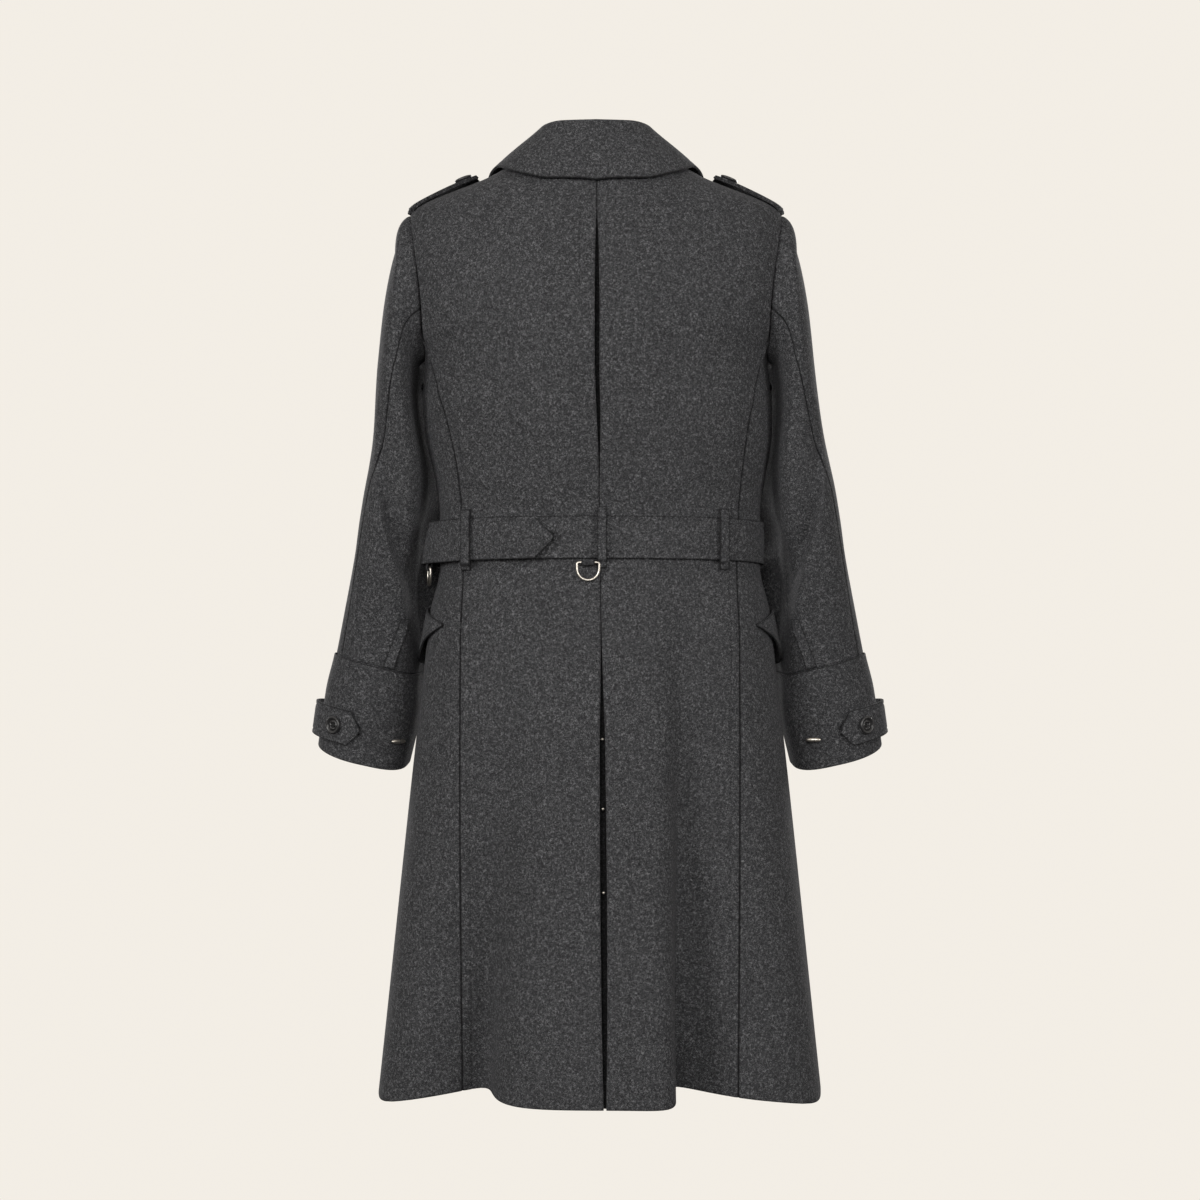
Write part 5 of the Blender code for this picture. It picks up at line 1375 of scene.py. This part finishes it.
def make_cuff(side, mark):
    turn = np.linspace(0, math.tau, 109)
    station = np.concatenate(
        (np.linspace(CUFF_TOP, CUFF_TOP + 0.1, 6), np.linspace(CUFF_TOP + 0.1, CUFF_END, 34)[1:])
    )
    phi, level = np.meshgrid(turn, station)
    clear = CUFF_TOP_CLEAR + (CUFF_CLEAR - CUFF_TOP_CLEAR) * ease((level - CUFF_TOP) / 0.7)
    out = clear + CUFF_CLOTH
    points, outside = sleeve_skin(side, phi, level, out)
    lay(f"cuff_{mark}_cloth", points, outside, [f"cuff_{mark}"], thick=CUFF_CLOTH, closed=True)
    turn = np.concatenate(
        (np.linspace(STRAP_FROM, STRAP_TO, 70), np.linspace(STRAP_TO, STRAP_TO + STRAP_POINT, 9)[1:])
    )
    share = np.array((-1, -0.93, -0.84, -0.76, -0.68, -0.6, -0.3, 0, 0.3, 0.6, 0.68, 0.76, 0.84, 0.93, 1))
    phi, across = np.meshgrid(turn, share)
    dip = stitch_dip((np.abs(across) - 0.76) * STRAP_HALF_WIDTH * STATION_LENGTH)
    points, outside = sleeve_skin(
        side, phi, strap_middle(phi) + across * strap_half(phi), STRAP_FACE + strap_stand(phi) + dip
    )
    lay(f"cuff_strap_{mark}_cloth", points, outside, [f"cuff_strap_{mark}"], thick=STRAP_CLOTH)


for side, mark in SIDES:
    make_cuff(side, mark)

# %% [markdown]
# ## Shoulder straps
# Each shoulder strap is sewn into the armhole and buttoned near the collar. It is two layers thick and
# lifts a little off the shoulder towards its point.

# %% Shoulder straps
EPAULETTE_OUT_X, EPAULETTE_TIP_X, EPAULETTE_BUTTON_X = 0.2005, 0.128, 0.142
EPAULETTE_HALF_WIDTH, EPAULETTE_CLOTH, EPAULETTE_RISE = 0.026, 0.0040, 0.0025
EPAULETTE_TAPER, EPAULETTE_POINT, EPAULETTE_SEAT = 0.12, 0.55, 0.0016


def epaulette_half(along_it):
    """Half width of a shoulder strap from the armhole to its point."""
    point = np.clip((along_it - 0.875) / 0.125, 0, 1)
    return EPAULETTE_HALF_WIDTH * (1 - EPAULETTE_TAPER * along_it) * (1 - (1 - EPAULETTE_POINT) * point)


def epaulette_out(along_it):
    """How far its outer face lies off the shoulder."""
    return EPAULETTE_SEAT + EPAULETTE_RISE * ease((along_it - 0.15) / 0.7) + EPAULETTE_CLOTH


def make_epaulette(side, mark):
    place = np.linspace(0, 1, 40)
    share = np.array((-1, -0.93, -0.86, -0.78, -0.70, -0.62, -0.3, 0, 0.3, 0.62, 0.70, 0.78, 0.86, 0.93, 1))
    along_it, across = np.meshgrid(place, share)
    x = side * (EPAULETTE_OUT_X + (EPAULETTE_TIP_X - EPAULETTE_OUT_X) * along_it)
    point, normal = shoulder(x, across * epaulette_half(along_it))
    out = epaulette_out(along_it) + stitch_dip((np.abs(across) - 0.78) * EPAULETTE_HALF_WIDTH)
    points = point + normal * out[..., None]
    # A small soft offset keeps the painted edge shade faint on the strap's thick rim.
    lay(f"epaulette_{mark}_cloth", points, normal, [f"epaulette_{mark}"], thick=EPAULETTE_CLOTH, soft=0.0009)


for side, mark in SIDES:
    make_epaulette(side, mark)

# %% [markdown]
# ## Belt
# One long belt goes round the waist from the buckle at the front, by the wearer's left, round the back and
# over itself to its pointed end. The loose end bows away from the left side. Narrow loops hold it to the
# seams, and each is kept straight as seen from behind, although it climbs over the belt.

# %% Belt and loops
BELT_Z, BELT_DROP, BELT_HALF_WIDTH, BELT_CLOTH = -0.397, 0.011, 0.0228, 0.0028
BELT_START, BELT_TIP, BELT_POINT, BELT_POINT_HALF = math.radians(-177), math.radians(339.9), 0.020, 0.0022
BELT_LAYER_FROM, BELT_LAYER_TO = math.radians(158), math.radians(182)
BELT_STEP_GAP, BELT_STEP_RUN = 0.004, 0.05
BELT_STEPS, BELT_STITCH, BELT_PUFF, BELT_EDGE = 330, 0.74, 0.0005, 0.0011
BELT_CURL, BELT_CURL_RUN = 0.0048, math.radians(19)
BELT_SWING, BELT_SWING_TURN, BELT_SWING_WIDTH = 0.013, math.radians(272), math.radians(16)
LOOP_HALF_WIDTH, LOOP_HALF_HEIGHT, LOOP_CLOTH, LOOP_STEP = 0.0050, 0.033, 0.0024, 0.0022
LOOP_SEAT, LOOP_SLACK, LOOP_PUFF, LOOP_EDGE, STRAIGHTENED = 0.0010, 0.0022, 0.0004, 0.0005, 5
BeltLoop = namedtuple("BeltLoop", "name x layers")
BELT_LOOPS = [
    BeltLoop("belt_loop_left", -0.145, 2),
    BeltLoop("belt_loop_centre", 0.0022, 1),
    BeltLoop("belt_loop_right", 0.134, 1),
]


def stack(theta, z):
    """How far the coat's outer face stands off its surface, front overlap included."""
    wrapped = np.mod(theta, math.tau)
    x = surface(wrapped, z)[..., 0]
    eased = over_lift(1, wrapped, z) * (1 - ease((-OVERLAP - BELT_STEP_GAP - x) / BELT_STEP_RUN))
    return np.where((wrapped > math.pi / 2) & (wrapped < 3 * math.pi / 2), eased, 0.0)


def belt_height(theta):
    """The middle of the belt, which dips from the centre back to the front."""
    return BELT_Z - BELT_DROP * np.sin(np.mod(theta, math.tau) / 2) ** 2


def belt_out(turn):
    """How far the belt's inner face lies off the coat."""
    layer = ease((turn - BELT_LAYER_FROM) / (BELT_LAYER_TO - BELT_LAYER_FROM))
    return CLEAR + layer * (BELT_CLOTH + LAY + LAY)


def belt_face(turn, z, low):
    """The belt's outer face: low is 0 at its upper edge and 1 at its lower edge."""
    offset = (turn - BELT_SWING_TURN) / BELT_SWING_WIDTH
    swing = BELT_SWING * np.exp(-offset * offset) * (0.35 + 0.65 * low)
    curl = BELT_CURL * ease((turn - BELT_TIP + BELT_CURL_RUN) / BELT_CURL_RUN)
    return belt_out(turn) + stack(turn, z) + swing + curl + BELT_CLOTH


def make_belt():
    tip_x = float(surface(BELT_TIP, belt_height(BELT_TIP))[0])
    point = np.linspace(0, 1, 12)[1:]
    tip = back_angle(tip_x + BELT_POINT * point, BELT_Z) + math.tau
    narrowed = BELT_HALF_WIDTH + (BELT_POINT_HALF - BELT_HALF_WIDTH) * point
    turn = np.concatenate((np.linspace(BELT_START, BELT_TIP, BELT_STEPS), tip))
    half = np.concatenate((np.full(BELT_STEPS, BELT_HALF_WIDTH), narrowed))
    share = np.array((1, 0.95, 0.88, 0.8, BELT_STITCH, 0.68, 0.6, 0.4, 0.13))
    turns, across = np.meshgrid(turn, np.concatenate((share, -share[::-1])))
    z = belt_height(turns) + across * half
    puff = BELT_PUFF * np.cos(across * math.pi / 2)
    puff = puff + stitch_dip((np.abs(across) - BELT_STITCH) * BELT_HALF_WIDTH)
    points = skin(turns, z, belt_face(turns, z, (1 - across) / 2) + puff)
    lay("belt_cloth", points, outward(turns, z), ["belt"], thick=BELT_CLOTH, edge=BELT_EDGE)


def make_loop(loop):
    theta = float(back_angle(loop.x, BELT_Z))
    up = np.linspace(LOOP_HALF_HEIGHT, -LOOP_HALF_HEIGHT, 46)
    over = CLEAR + loop.layers * (BELT_CLOTH + LAY + LAY) + LOOP_SLACK
    clear = BELT_HALF_WIDTH + (2 * loop.layers - 1) * CLEAR
    seat = LOOP_SEAT + (over - LOOP_SEAT) * ease((clear + LOOP_STEP - np.abs(up)) / LOOP_STEP)
    level, shift = np.meshgrid(belt_height(theta) + up, np.linspace(-1, 1, 7), indexing="ij")
    out = seat[:, None] + LOOP_CLOTH + LOOP_PUFF * np.cos(shift * math.pi / 2)
    wanted = place = loop.x + LOOP_HALF_WIDTH * shift
    for _ in range(STRAIGHTENED):
        angle = back_angle(place, level)
        place = place + wanted - skin(angle, level, out)[..., 0]
    points = skin(angle, level, out)
    lay(loop.name + "_cloth", points, outward(angle, level), [loop.name], thick=LOOP_CLOTH, edge=LOOP_EDGE)


make_belt()
for loop in BELT_LOOPS:
    make_loop(loop)

# %% [markdown]
# ## Pocket flaps
# From behind only the pointed back end of each pocket flap shows. It is sewn down at its point and stands
# off the hip towards the front.

# %% Pocket flaps
FlapEdge = namedtuple("FlapEdge", "angle top bottom stand")
FLAP = [
    FlapEdge(62, -0.4895, -0.4925, 0.0000),
    FlapEdge(78, -0.4800, -0.5080, 0.0010),
    FlapEdge(92, -0.4740, -0.5300, 0.0030),
    FlapEdge(108, -0.4680, -0.5360, 0.0040),
    FlapEdge(132, -0.4600, -0.5240, 0.0015),
]
FLAP_CLOTH, FLAP_SEAT, FLAP_STITCH = 0.0020, 0.0016, 0.0028
flap_top, flap_bottom, flap_stand = (along(FLAP, name) for name in ("top", "bottom", "stand"))


def make_flap(side, mark):
    angle = np.concatenate(
        (np.linspace(62, 64, 5), np.linspace(64, 130, 60)[1:], np.linspace(130, 132, 5)[1:])
    )
    down = np.concatenate((np.linspace(0, 0.8, 14), np.linspace(0.82, 1, 9)))
    turn, fall = np.meshgrid(angle, down)
    z = flap_top(turn) + (flap_bottom(turn) - flap_top(turn)) * fall
    deep = flap_top(turn) - flap_bottom(turn)
    sewn = stitch_dip(deep * (1 - fall) - FLAP_STITCH) + stitch_dip(deep * fall - FLAP_STITCH)
    out = FLAP_SEAT + CLEAR * ease((turn - 66) / 16) + 1.4 * flap_stand(turn) * fall**1.4 + FLAP_CLOTH + sewn
    theta = side * np.radians(turn)
    points, outside = skin(theta, z, out), outward(theta, z)
    lay(f"pocket_flap_{mark}_cloth", points, outside, [f"pocket_flap_{mark}"], thick=FLAP_CLOTH)


for side, mark in SIDES:
    make_flap(side, mark)

# %% [markdown]
# ## Buttons, studs and eyelets
# A button is turned from horn: a profile is spun round its axis, with a raised rim and a dished middle.
# Four holes are cut by filling the middle between circles, and the thread crosses over them in two bars.

# %% Buttons
COAT_BUTTON, COAT_BUTTON_THICK, CUFF_BUTTON, CUFF_BUTTON_THICK = 0.0130, 0.0042, 0.0100, 0.0036
BUTTON_SEAT, BUTTON_COLUMN_X = 0.0008, 0.058
BUTTON_ROWS_Z = (-0.250, -0.330, -0.478, -0.565)
STUD, STUD_THICK, STUD_ROWS_Z = 0.0016, 0.0030, (-0.610, -0.683, -0.770)
HOLE_RADIUS, HOLE_PLACE = 0.0011, 0.0021


def placed(point, normal, upwards=(0, 0, 1)):
    """A frame at a point with Z along the normal and Y as near as can be to upwards."""
    z = Vector(normal).normalized()
    x = Vector(upwards).cross(z).normalized()
    axes = Matrix((x, z.cross(x), z)).transposed().to_4x4()
    return Matrix.Translation(Vector(leaning(np.asarray(point, float)))) @ axes


def spun(bm, profile, steps=40):
    """A closed profile of (radius, height) spun round Z into the bmesh."""
    start = [bm.verts.new((radius, 0, height)) for radius, height in profile]
    edges = [bm.edges.new(pair) for pair in zip(start, start[1:] + start[:1])]
    bmesh.ops.spin(
        bm, geom=start + edges, cent=(0, 0, 0), axis=(0, 0, 1), angle=math.tau, steps=steps, use_merge=True
    )


def button_middle(bm, radius, height, thick):
    """A round plate with four holes through it."""
    raised = Matrix.Translation((0, 0, height))
    rims = bmesh.ops.create_circle(bm, segments=40, radius=radius, matrix=raised)["verts"]
    for quarter in range(4):
        turn = math.radians(45 + 90 * quarter)
        spot = Matrix.Translation((HOLE_PLACE * math.cos(turn), HOLE_PLACE * math.sin(turn), height))
        rims += bmesh.ops.create_circle(bm, segments=12, radius=HOLE_RADIUS, matrix=spot)["verts"]
    edges = list({edge for vertex in rims for edge in vertex.link_edges})
    filled = bmesh.ops.triangle_fill(bm, use_beauty=True, use_dissolve=False, edges=edges)["geom"]
    faces = [part for part in filled if isinstance(part, bmesh.types.BMFace)]
    grown = bmesh.ops.extrude_face_region(bm, geom=faces, use_keep_orig=True)["geom"]
    below = [part for part in grown if isinstance(part, bmesh.types.BMVert)]
    bmesh.ops.translate(bm, verts=below, vec=(0, 0, -thick))


def make_button(name, radius, thick, place):
    """A horn button with a rim, a dished middle and four holes, and its thread."""
    bm = bmesh.new()
    floor = 0.62 * thick
    spun(
        bm,
        [
            (0.60 * radius, 0.05 * thick),
            (0.80 * radius, 0.0),
            (0.95 * radius, 0.18 * thick),
            (radius, 0.45 * thick),
            (0.985 * radius, 0.75 * thick),
            (0.92 * radius, 0.96 * thick),
            (0.84 * radius, thick),
            (0.76 * radius, 0.95 * thick),
            (0.69 * radius, 0.78 * thick),
            (0.60 * radius, floor),
        ],
    )
    button_middle(bm, 0.604 * radius, floor - 0.00004, floor - 0.06 * thick)
    bmesh.ops.recalc_face_normals(bm, faces=bm.faces)
    bm.transform(place)
    keep(name + "_horn", bm, HORN, [name])
    bm = bmesh.new()
    for side in (-1, 1):
        bar = Matrix.Translation((0, side * HOLE_PLACE * 0.7071, floor + 0.0002))
        bar = bar @ Matrix.Diagonal((HOLE_PLACE * 1.0, 0.0005, 0.0005, 1))
        bmesh.ops.create_uvsphere(bm, u_segments=12, v_segments=8, radius=1.0, matrix=place @ bar)
    keep(name + "_thread", bm, THREAD, [])


def body_place(theta, z, out):
    """A frame on the body's surface."""
    return placed(skin(theta, z, out), outward(theta, z))


for row, z in enumerate(BUTTON_ROWS_Z, 1):
    for side, mark in SIDES:
        theta = float(np.mod(front_angle(side, side * BUTTON_COLUMN_X, z), math.tau))
        out = float(stack(theta, z)) + BUTTON_SEAT
        make_button(f"front_button_{mark}_{row}", COAT_BUTTON, COAT_BUTTON_THICK, body_place(theta, z, out))
CUFF_BUTTON_ANGLE = math.radians(57)
for side, mark in SIDES:
    out = STRAP_FACE + float(strap_stand(CUFF_BUTTON_ANGLE)) + LAY
    point, normal = sleeve_skin(side, CUFF_BUTTON_ANGLE, strap_middle(CUFF_BUTTON_ANGLE), out)
    make_button(f"cuff_button_{mark}", CUFF_BUTTON, CUFF_BUTTON_THICK, placed(point, normal))
    point, normal = shoulder(side * EPAULETTE_BUTTON_X, 0.0)
    seat = EPAULETTE_SEAT + EPAULETTE_CLOTH + EPAULETTE_RISE + BUTTON_SEAT
    spot = placed(point + normal * seat, normal, (0, 1, 0))
    make_button(f"epaulette_button_{mark}", CUFF_BUTTON, CUFF_BUTTON_THICK, spot)

# %% [markdown]
# A stud is a ball pressed flat on the underlay. An eyelet is a small round section spun into a ring, set
# where the gusset meets the arm.

# %% Studs and eyelets
EYELET_Z, EYELET_ANGLE = -0.232, math.radians(80)
EYELET_HOLE, EYELET_RIM, EYELET_THICK = 0.0026, 0.0048, 0.0012


def ring_profile(middle, wire, flat, steps=12):
    """The section of a round ring, flattened to its height."""
    turns = np.linspace(0, math.tau, steps, endpoint=False)
    return [(middle + wire * math.cos(a), flat * (1 + math.sin(a))) for a in turns]


for row, z in enumerate(STUD_ROWS_Z, 1):
    theta = float(back_angle(slit_x(z), z))
    bm = bmesh.new()
    bmesh.ops.create_uvsphere(bm, u_segments=20, v_segments=14, radius=1.0)
    bm.transform(Matrix.Diagonal((STUD, STUD, STUD_THICK / 2, 1)))
    bm.transform(body_place(theta, z, -UNDERLAY_DEPTH + SEAM + STUD_THICK / 2))
    keep(f"pleat_stud_{row}_nickel", bm, NICKEL, [f"pleat_stud_{row}"])
for side, mark in SIDES:
    bm = bmesh.new()
    middle, wire = (EYELET_HOLE + EYELET_RIM) / 2, (EYELET_RIM - EYELET_HOLE) / 2
    spun(bm, ring_profile(middle, wire, EYELET_THICK / 2), 32)
    bmesh.ops.recalc_face_normals(bm, faces=bm.faces)
    bm.transform(body_place(side * EYELET_ANGLE, EYELET_Z, 0.0008))
    keep(f"eyelet_{mark}_metal", bm, BLACK_METAL, [f"eyelet_{mark}"])
print("studs and eyelets:", len(STUD_ROWS_Z) + len(SIDES))

# %% [markdown]
# ## Toggles, buckle and rings
# The toggle on each cuff is a small nickel bar held by a thread. The buckle is a plain horn slide. The
# D-rings hang from cloth tabs under the belt and swing on their bars, so each rides on its own body.

# %% Toggles and buckle
TOGGLE_ANGLES = {"left": math.radians(122), "right": math.radians(106)}
TOGGLE_STATION, TOGGLE_LENGTH, TOGGLE_THICK = 8.44, 0.0085, 0.0027
BUCKLE_HALF_WIDTH, BUCKLE_HALF_HEIGHT, BUCKLE_BAR, BUCKLE_THICK = 0.030, 0.031, 0.005, 0.0026


def make_toggle(side, mark):
    point, normal = sleeve_skin(side, TOGGLE_ANGLES[mark], TOGGLE_STATION, CUFF_FACE + TOGGLE_THICK + CLEAR)
    place = placed(point, normal)
    bm = bmesh.new()
    turns = np.linspace(-math.pi / 2, math.pi / 2, 22)
    profile = [(TOGGLE_THICK * math.cos(a) ** 0.8, TOGGLE_LENGTH * math.sin(a)) for a in turns[1:-1]]
    start = [bm.verts.new((0, 0, -TOGGLE_LENGTH))] + [bm.verts.new((r, 0, h)) for r, h in profile]
    start.append(bm.verts.new((0, 0, TOGGLE_LENGTH)))
    edges = [bm.edges.new(pair) for pair in zip(start, start[1:])]
    bmesh.ops.spin(
        bm, geom=start + edges, cent=(0, 0, 0), axis=(0, 0, 1), angle=math.tau, steps=28, use_merge=True
    )
    bmesh.ops.remove_doubles(bm, verts=bm.verts, dist=1e-6)
    bmesh.ops.recalc_face_normals(bm, faces=bm.faces)
    bm.transform(place @ Matrix.Rotation(math.radians(90), 4, "Y"))
    keep(f"cuff_toggle_{mark}_nickel", bm, NICKEL, [f"cuff_toggle_{mark}"])
    bm = bmesh.new()
    loop = Matrix.Diagonal((0.0005, TOGGLE_THICK + 0.0009, TOGGLE_THICK + 0.0003, 1))
    loop = Matrix.Translation((0.0012, 0, 0)) @ loop
    bmesh.ops.create_uvsphere(bm, u_segments=16, v_segments=10, radius=1.0, matrix=place @ loop)
    keep(f"cuff_toggle_{mark}_thread", bm, THREAD, [])


def make_buckle():
    z = float(belt_height(math.pi))
    seat = float(stack(math.pi, z) + belt_out(BELT_LAYER_TO)) + BELT_CLOTH + SEAM + 0.0008
    bm = bmesh.new()
    bmesh.ops.create_grid(bm, x_segments=5, y_segments=3, size=1.0)
    cuts_x = [-BUCKLE_HALF_WIDTH, BUCKLE_BAR - BUCKLE_HALF_WIDTH, -BUCKLE_BAR / 2]
    cuts_x += [-x for x in reversed(cuts_x)]
    cuts_y = [-BUCKLE_HALF_HEIGHT, BUCKLE_BAR - BUCKLE_HALF_HEIGHT]
    cuts_y += [-y for y in reversed(cuts_y)]
    for vertex in bm.verts:
        column, row = round((vertex.co.x + 1) / 2 * 5), round((vertex.co.y + 1) / 2 * 3)
        vertex.co = (cuts_x[column], cuts_y[row], 0)
    middles = [(face, face.calc_center_median()) for face in bm.faces]
    windows = [face for face, spot in middles if abs(spot.y) < 0.001 and 0.005 < abs(spot.x) < 0.02]
    bmesh.ops.delete(bm, geom=windows, context="FACES")
    grown = bmesh.ops.extrude_face_region(bm, geom=bm.faces[:], use_keep_orig=True)["geom"]
    raised = [part for part in grown if isinstance(part, bmesh.types.BMVert)]
    bmesh.ops.translate(bm, verts=raised, vec=(0, 0, BUCKLE_THICK))
    bmesh.ops.recalc_face_normals(bm, faces=bm.faces)
    sharp = [edge for edge in bm.edges if edge.calc_face_angle(0) > 1.0]
    bmesh.ops.bevel(bm, geom=sharp, offset=0.0009, segments=3, profile=0.5, affect="EDGES", material=-1)
    bm.transform(body_place(math.pi, z, seat))
    keep("belt_buckle_horn", bm, HORN, ["belt_buckle"])


for side, mark in SIDES:
    make_toggle(side, mark)
make_buckle()
print("toggles and buckle made")

# %% [markdown]
# A D-ring is one wire: a straight bar, two round corners and a bow. Its frame stands on the joint's own axis,
# so that the ring turns about its bar. The tab is a strip of cloth folded once round the bar.

# %% Rings and tabs
Ring = namedtuple("Ring", "name x drop out")
D_RINGS = [Ring("back", -0.0125, 0.0042, 0.00621), Ring("left", -0.1745, 0.0042, 0.01233)]
RING_WIRE, RING_HALF_WIDTH, RING_LENGTH, RING_REST = 0.0014, 0.0118, 0.0188, 0.0016
RING_CORNER = 0.0024
TAB_HALF_WIDTH, TAB_CLOTH = 0.0070, 0.0014


def ring_frame(ring):
    """The frame of a ring: origin on its bar, Y down the ring, Z outwards from the coat."""
    theta = float(back_angle(ring.x, BELT_Z))
    z = float(belt_height(theta)) - BELT_HALF_WIDTH - ring.drop
    lean = unit(outward(theta, z) * (1, 1, 0))
    bar = surface(theta, z) + lean * ring.out
    plumb = bar - np.array((0, 0, RING_LENGTH))
    below = surface(theta, z - RING_LENGTH) + lean * (RING_WIRE + RING_REST)
    if (plumb - below) @ lean > 0:
        below = plumb
    down = unit(below - bar)
    across = unit(np.cross(lean, (0, 0, 1)))
    out = unit(np.cross(across, down))
    if out @ lean < 0:
        across, out = -across, -out
    turned = Matrix((Vector(across), Vector(down), Vector(out))).transposed().to_4x4()
    return Matrix.Translation(Vector(leaning(bar))) @ turned


def make_ring(ring):
    place = ring_frame(ring)
    straight, bar = RING_LENGTH - RING_HALF_WIDTH, RING_HALF_WIDTH - RING_CORNER
    bends = [((bar, RING_CORNER), RING_CORNER, -90, 0, 7), ((0, straight), RING_HALF_WIDTH, 0, 180, 33)]
    bends.append(((-bar, RING_CORNER), RING_CORNER, 180, 270, 7))
    path = []
    for (x, y), radius, start, end, steps in bends:
        for a in np.radians(np.linspace(start, end, steps)):
            path.append(Vector((x + radius * math.cos(a), y + radius * math.sin(a), 0)))
    wire = bpy.data.curves.new(f"d_ring_{ring.name}_wire", "CURVE")
    wire.dimensions, wire.bevel_depth, wire.bevel_resolution = "3D", RING_WIRE, 5
    spline = wire.splines.new("POLY")
    spline.points.add(len(path) - 1)
    for point, spot in zip(spline.points, path):
        point.co = (*(place @ spot), 1)
    spline.use_cyclic_u = True
    spline.use_smooth = True
    wire.materials.append(NICKEL)
    made = bpy.data.objects.new(f"d_ring_{ring.name}_wire", wire)
    bpy.context.scene.collection.objects.link(made)
    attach(made, "ring_" + ring.name)
    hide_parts("d_ring_" + ring.name)


def make_tab(ring):
    place = ring_frame(ring)
    hold, top = RING_WIRE + SEAM + TAB_CLOTH, -ring.drop + LAY
    section = [(top, hold), (top / 2, hold)]
    section += [(hold * math.sin(a), hold * math.cos(a)) for a in np.linspace(0, math.pi, 16)]
    section += [(top / 2, -hold), (top, -hold)]
    across = np.linspace(-TAB_HALF_WIDTH, TAB_HALF_WIDTH, 9)
    points = np.array([[place @ Vector((x, y, z)) for y, z in section] for x in across])
    bow = [(math.sin(a), math.cos(a)) for a in np.linspace(0, math.pi, 16)]
    flat = [(0, 1), (0, 1)] + bow + [(0, -1), (0, -1)]
    turn = place.to_3x3()
    outside = np.array([[turn @ Vector((0, y, z)) for y, z in flat] for _ in across])
    bm = carried_grid(points, outside, False)
    area = sum(face.calc_area() for face in bm.faces)
    piece = keep(f"d_ring_tab_{ring.name}_cloth", bm, WOOL, [f"d_ring_tab_{ring.name}"])
    shell = piece.modifiers.new("thickness", "SOLIDIFY")
    shell.thickness, shell.offset = TAB_CLOTH, -1.0
    piece["cut"] = [2 * TAB_HALF_WIDTH, area / (2 * TAB_HALF_WIDTH), area]


for ring in D_RINGS:
    make_ring(ring)
    make_tab(ring)
print("ring bars:", {ring.name: tuple(ring_frame(ring).translation) for ring in D_RINGS})
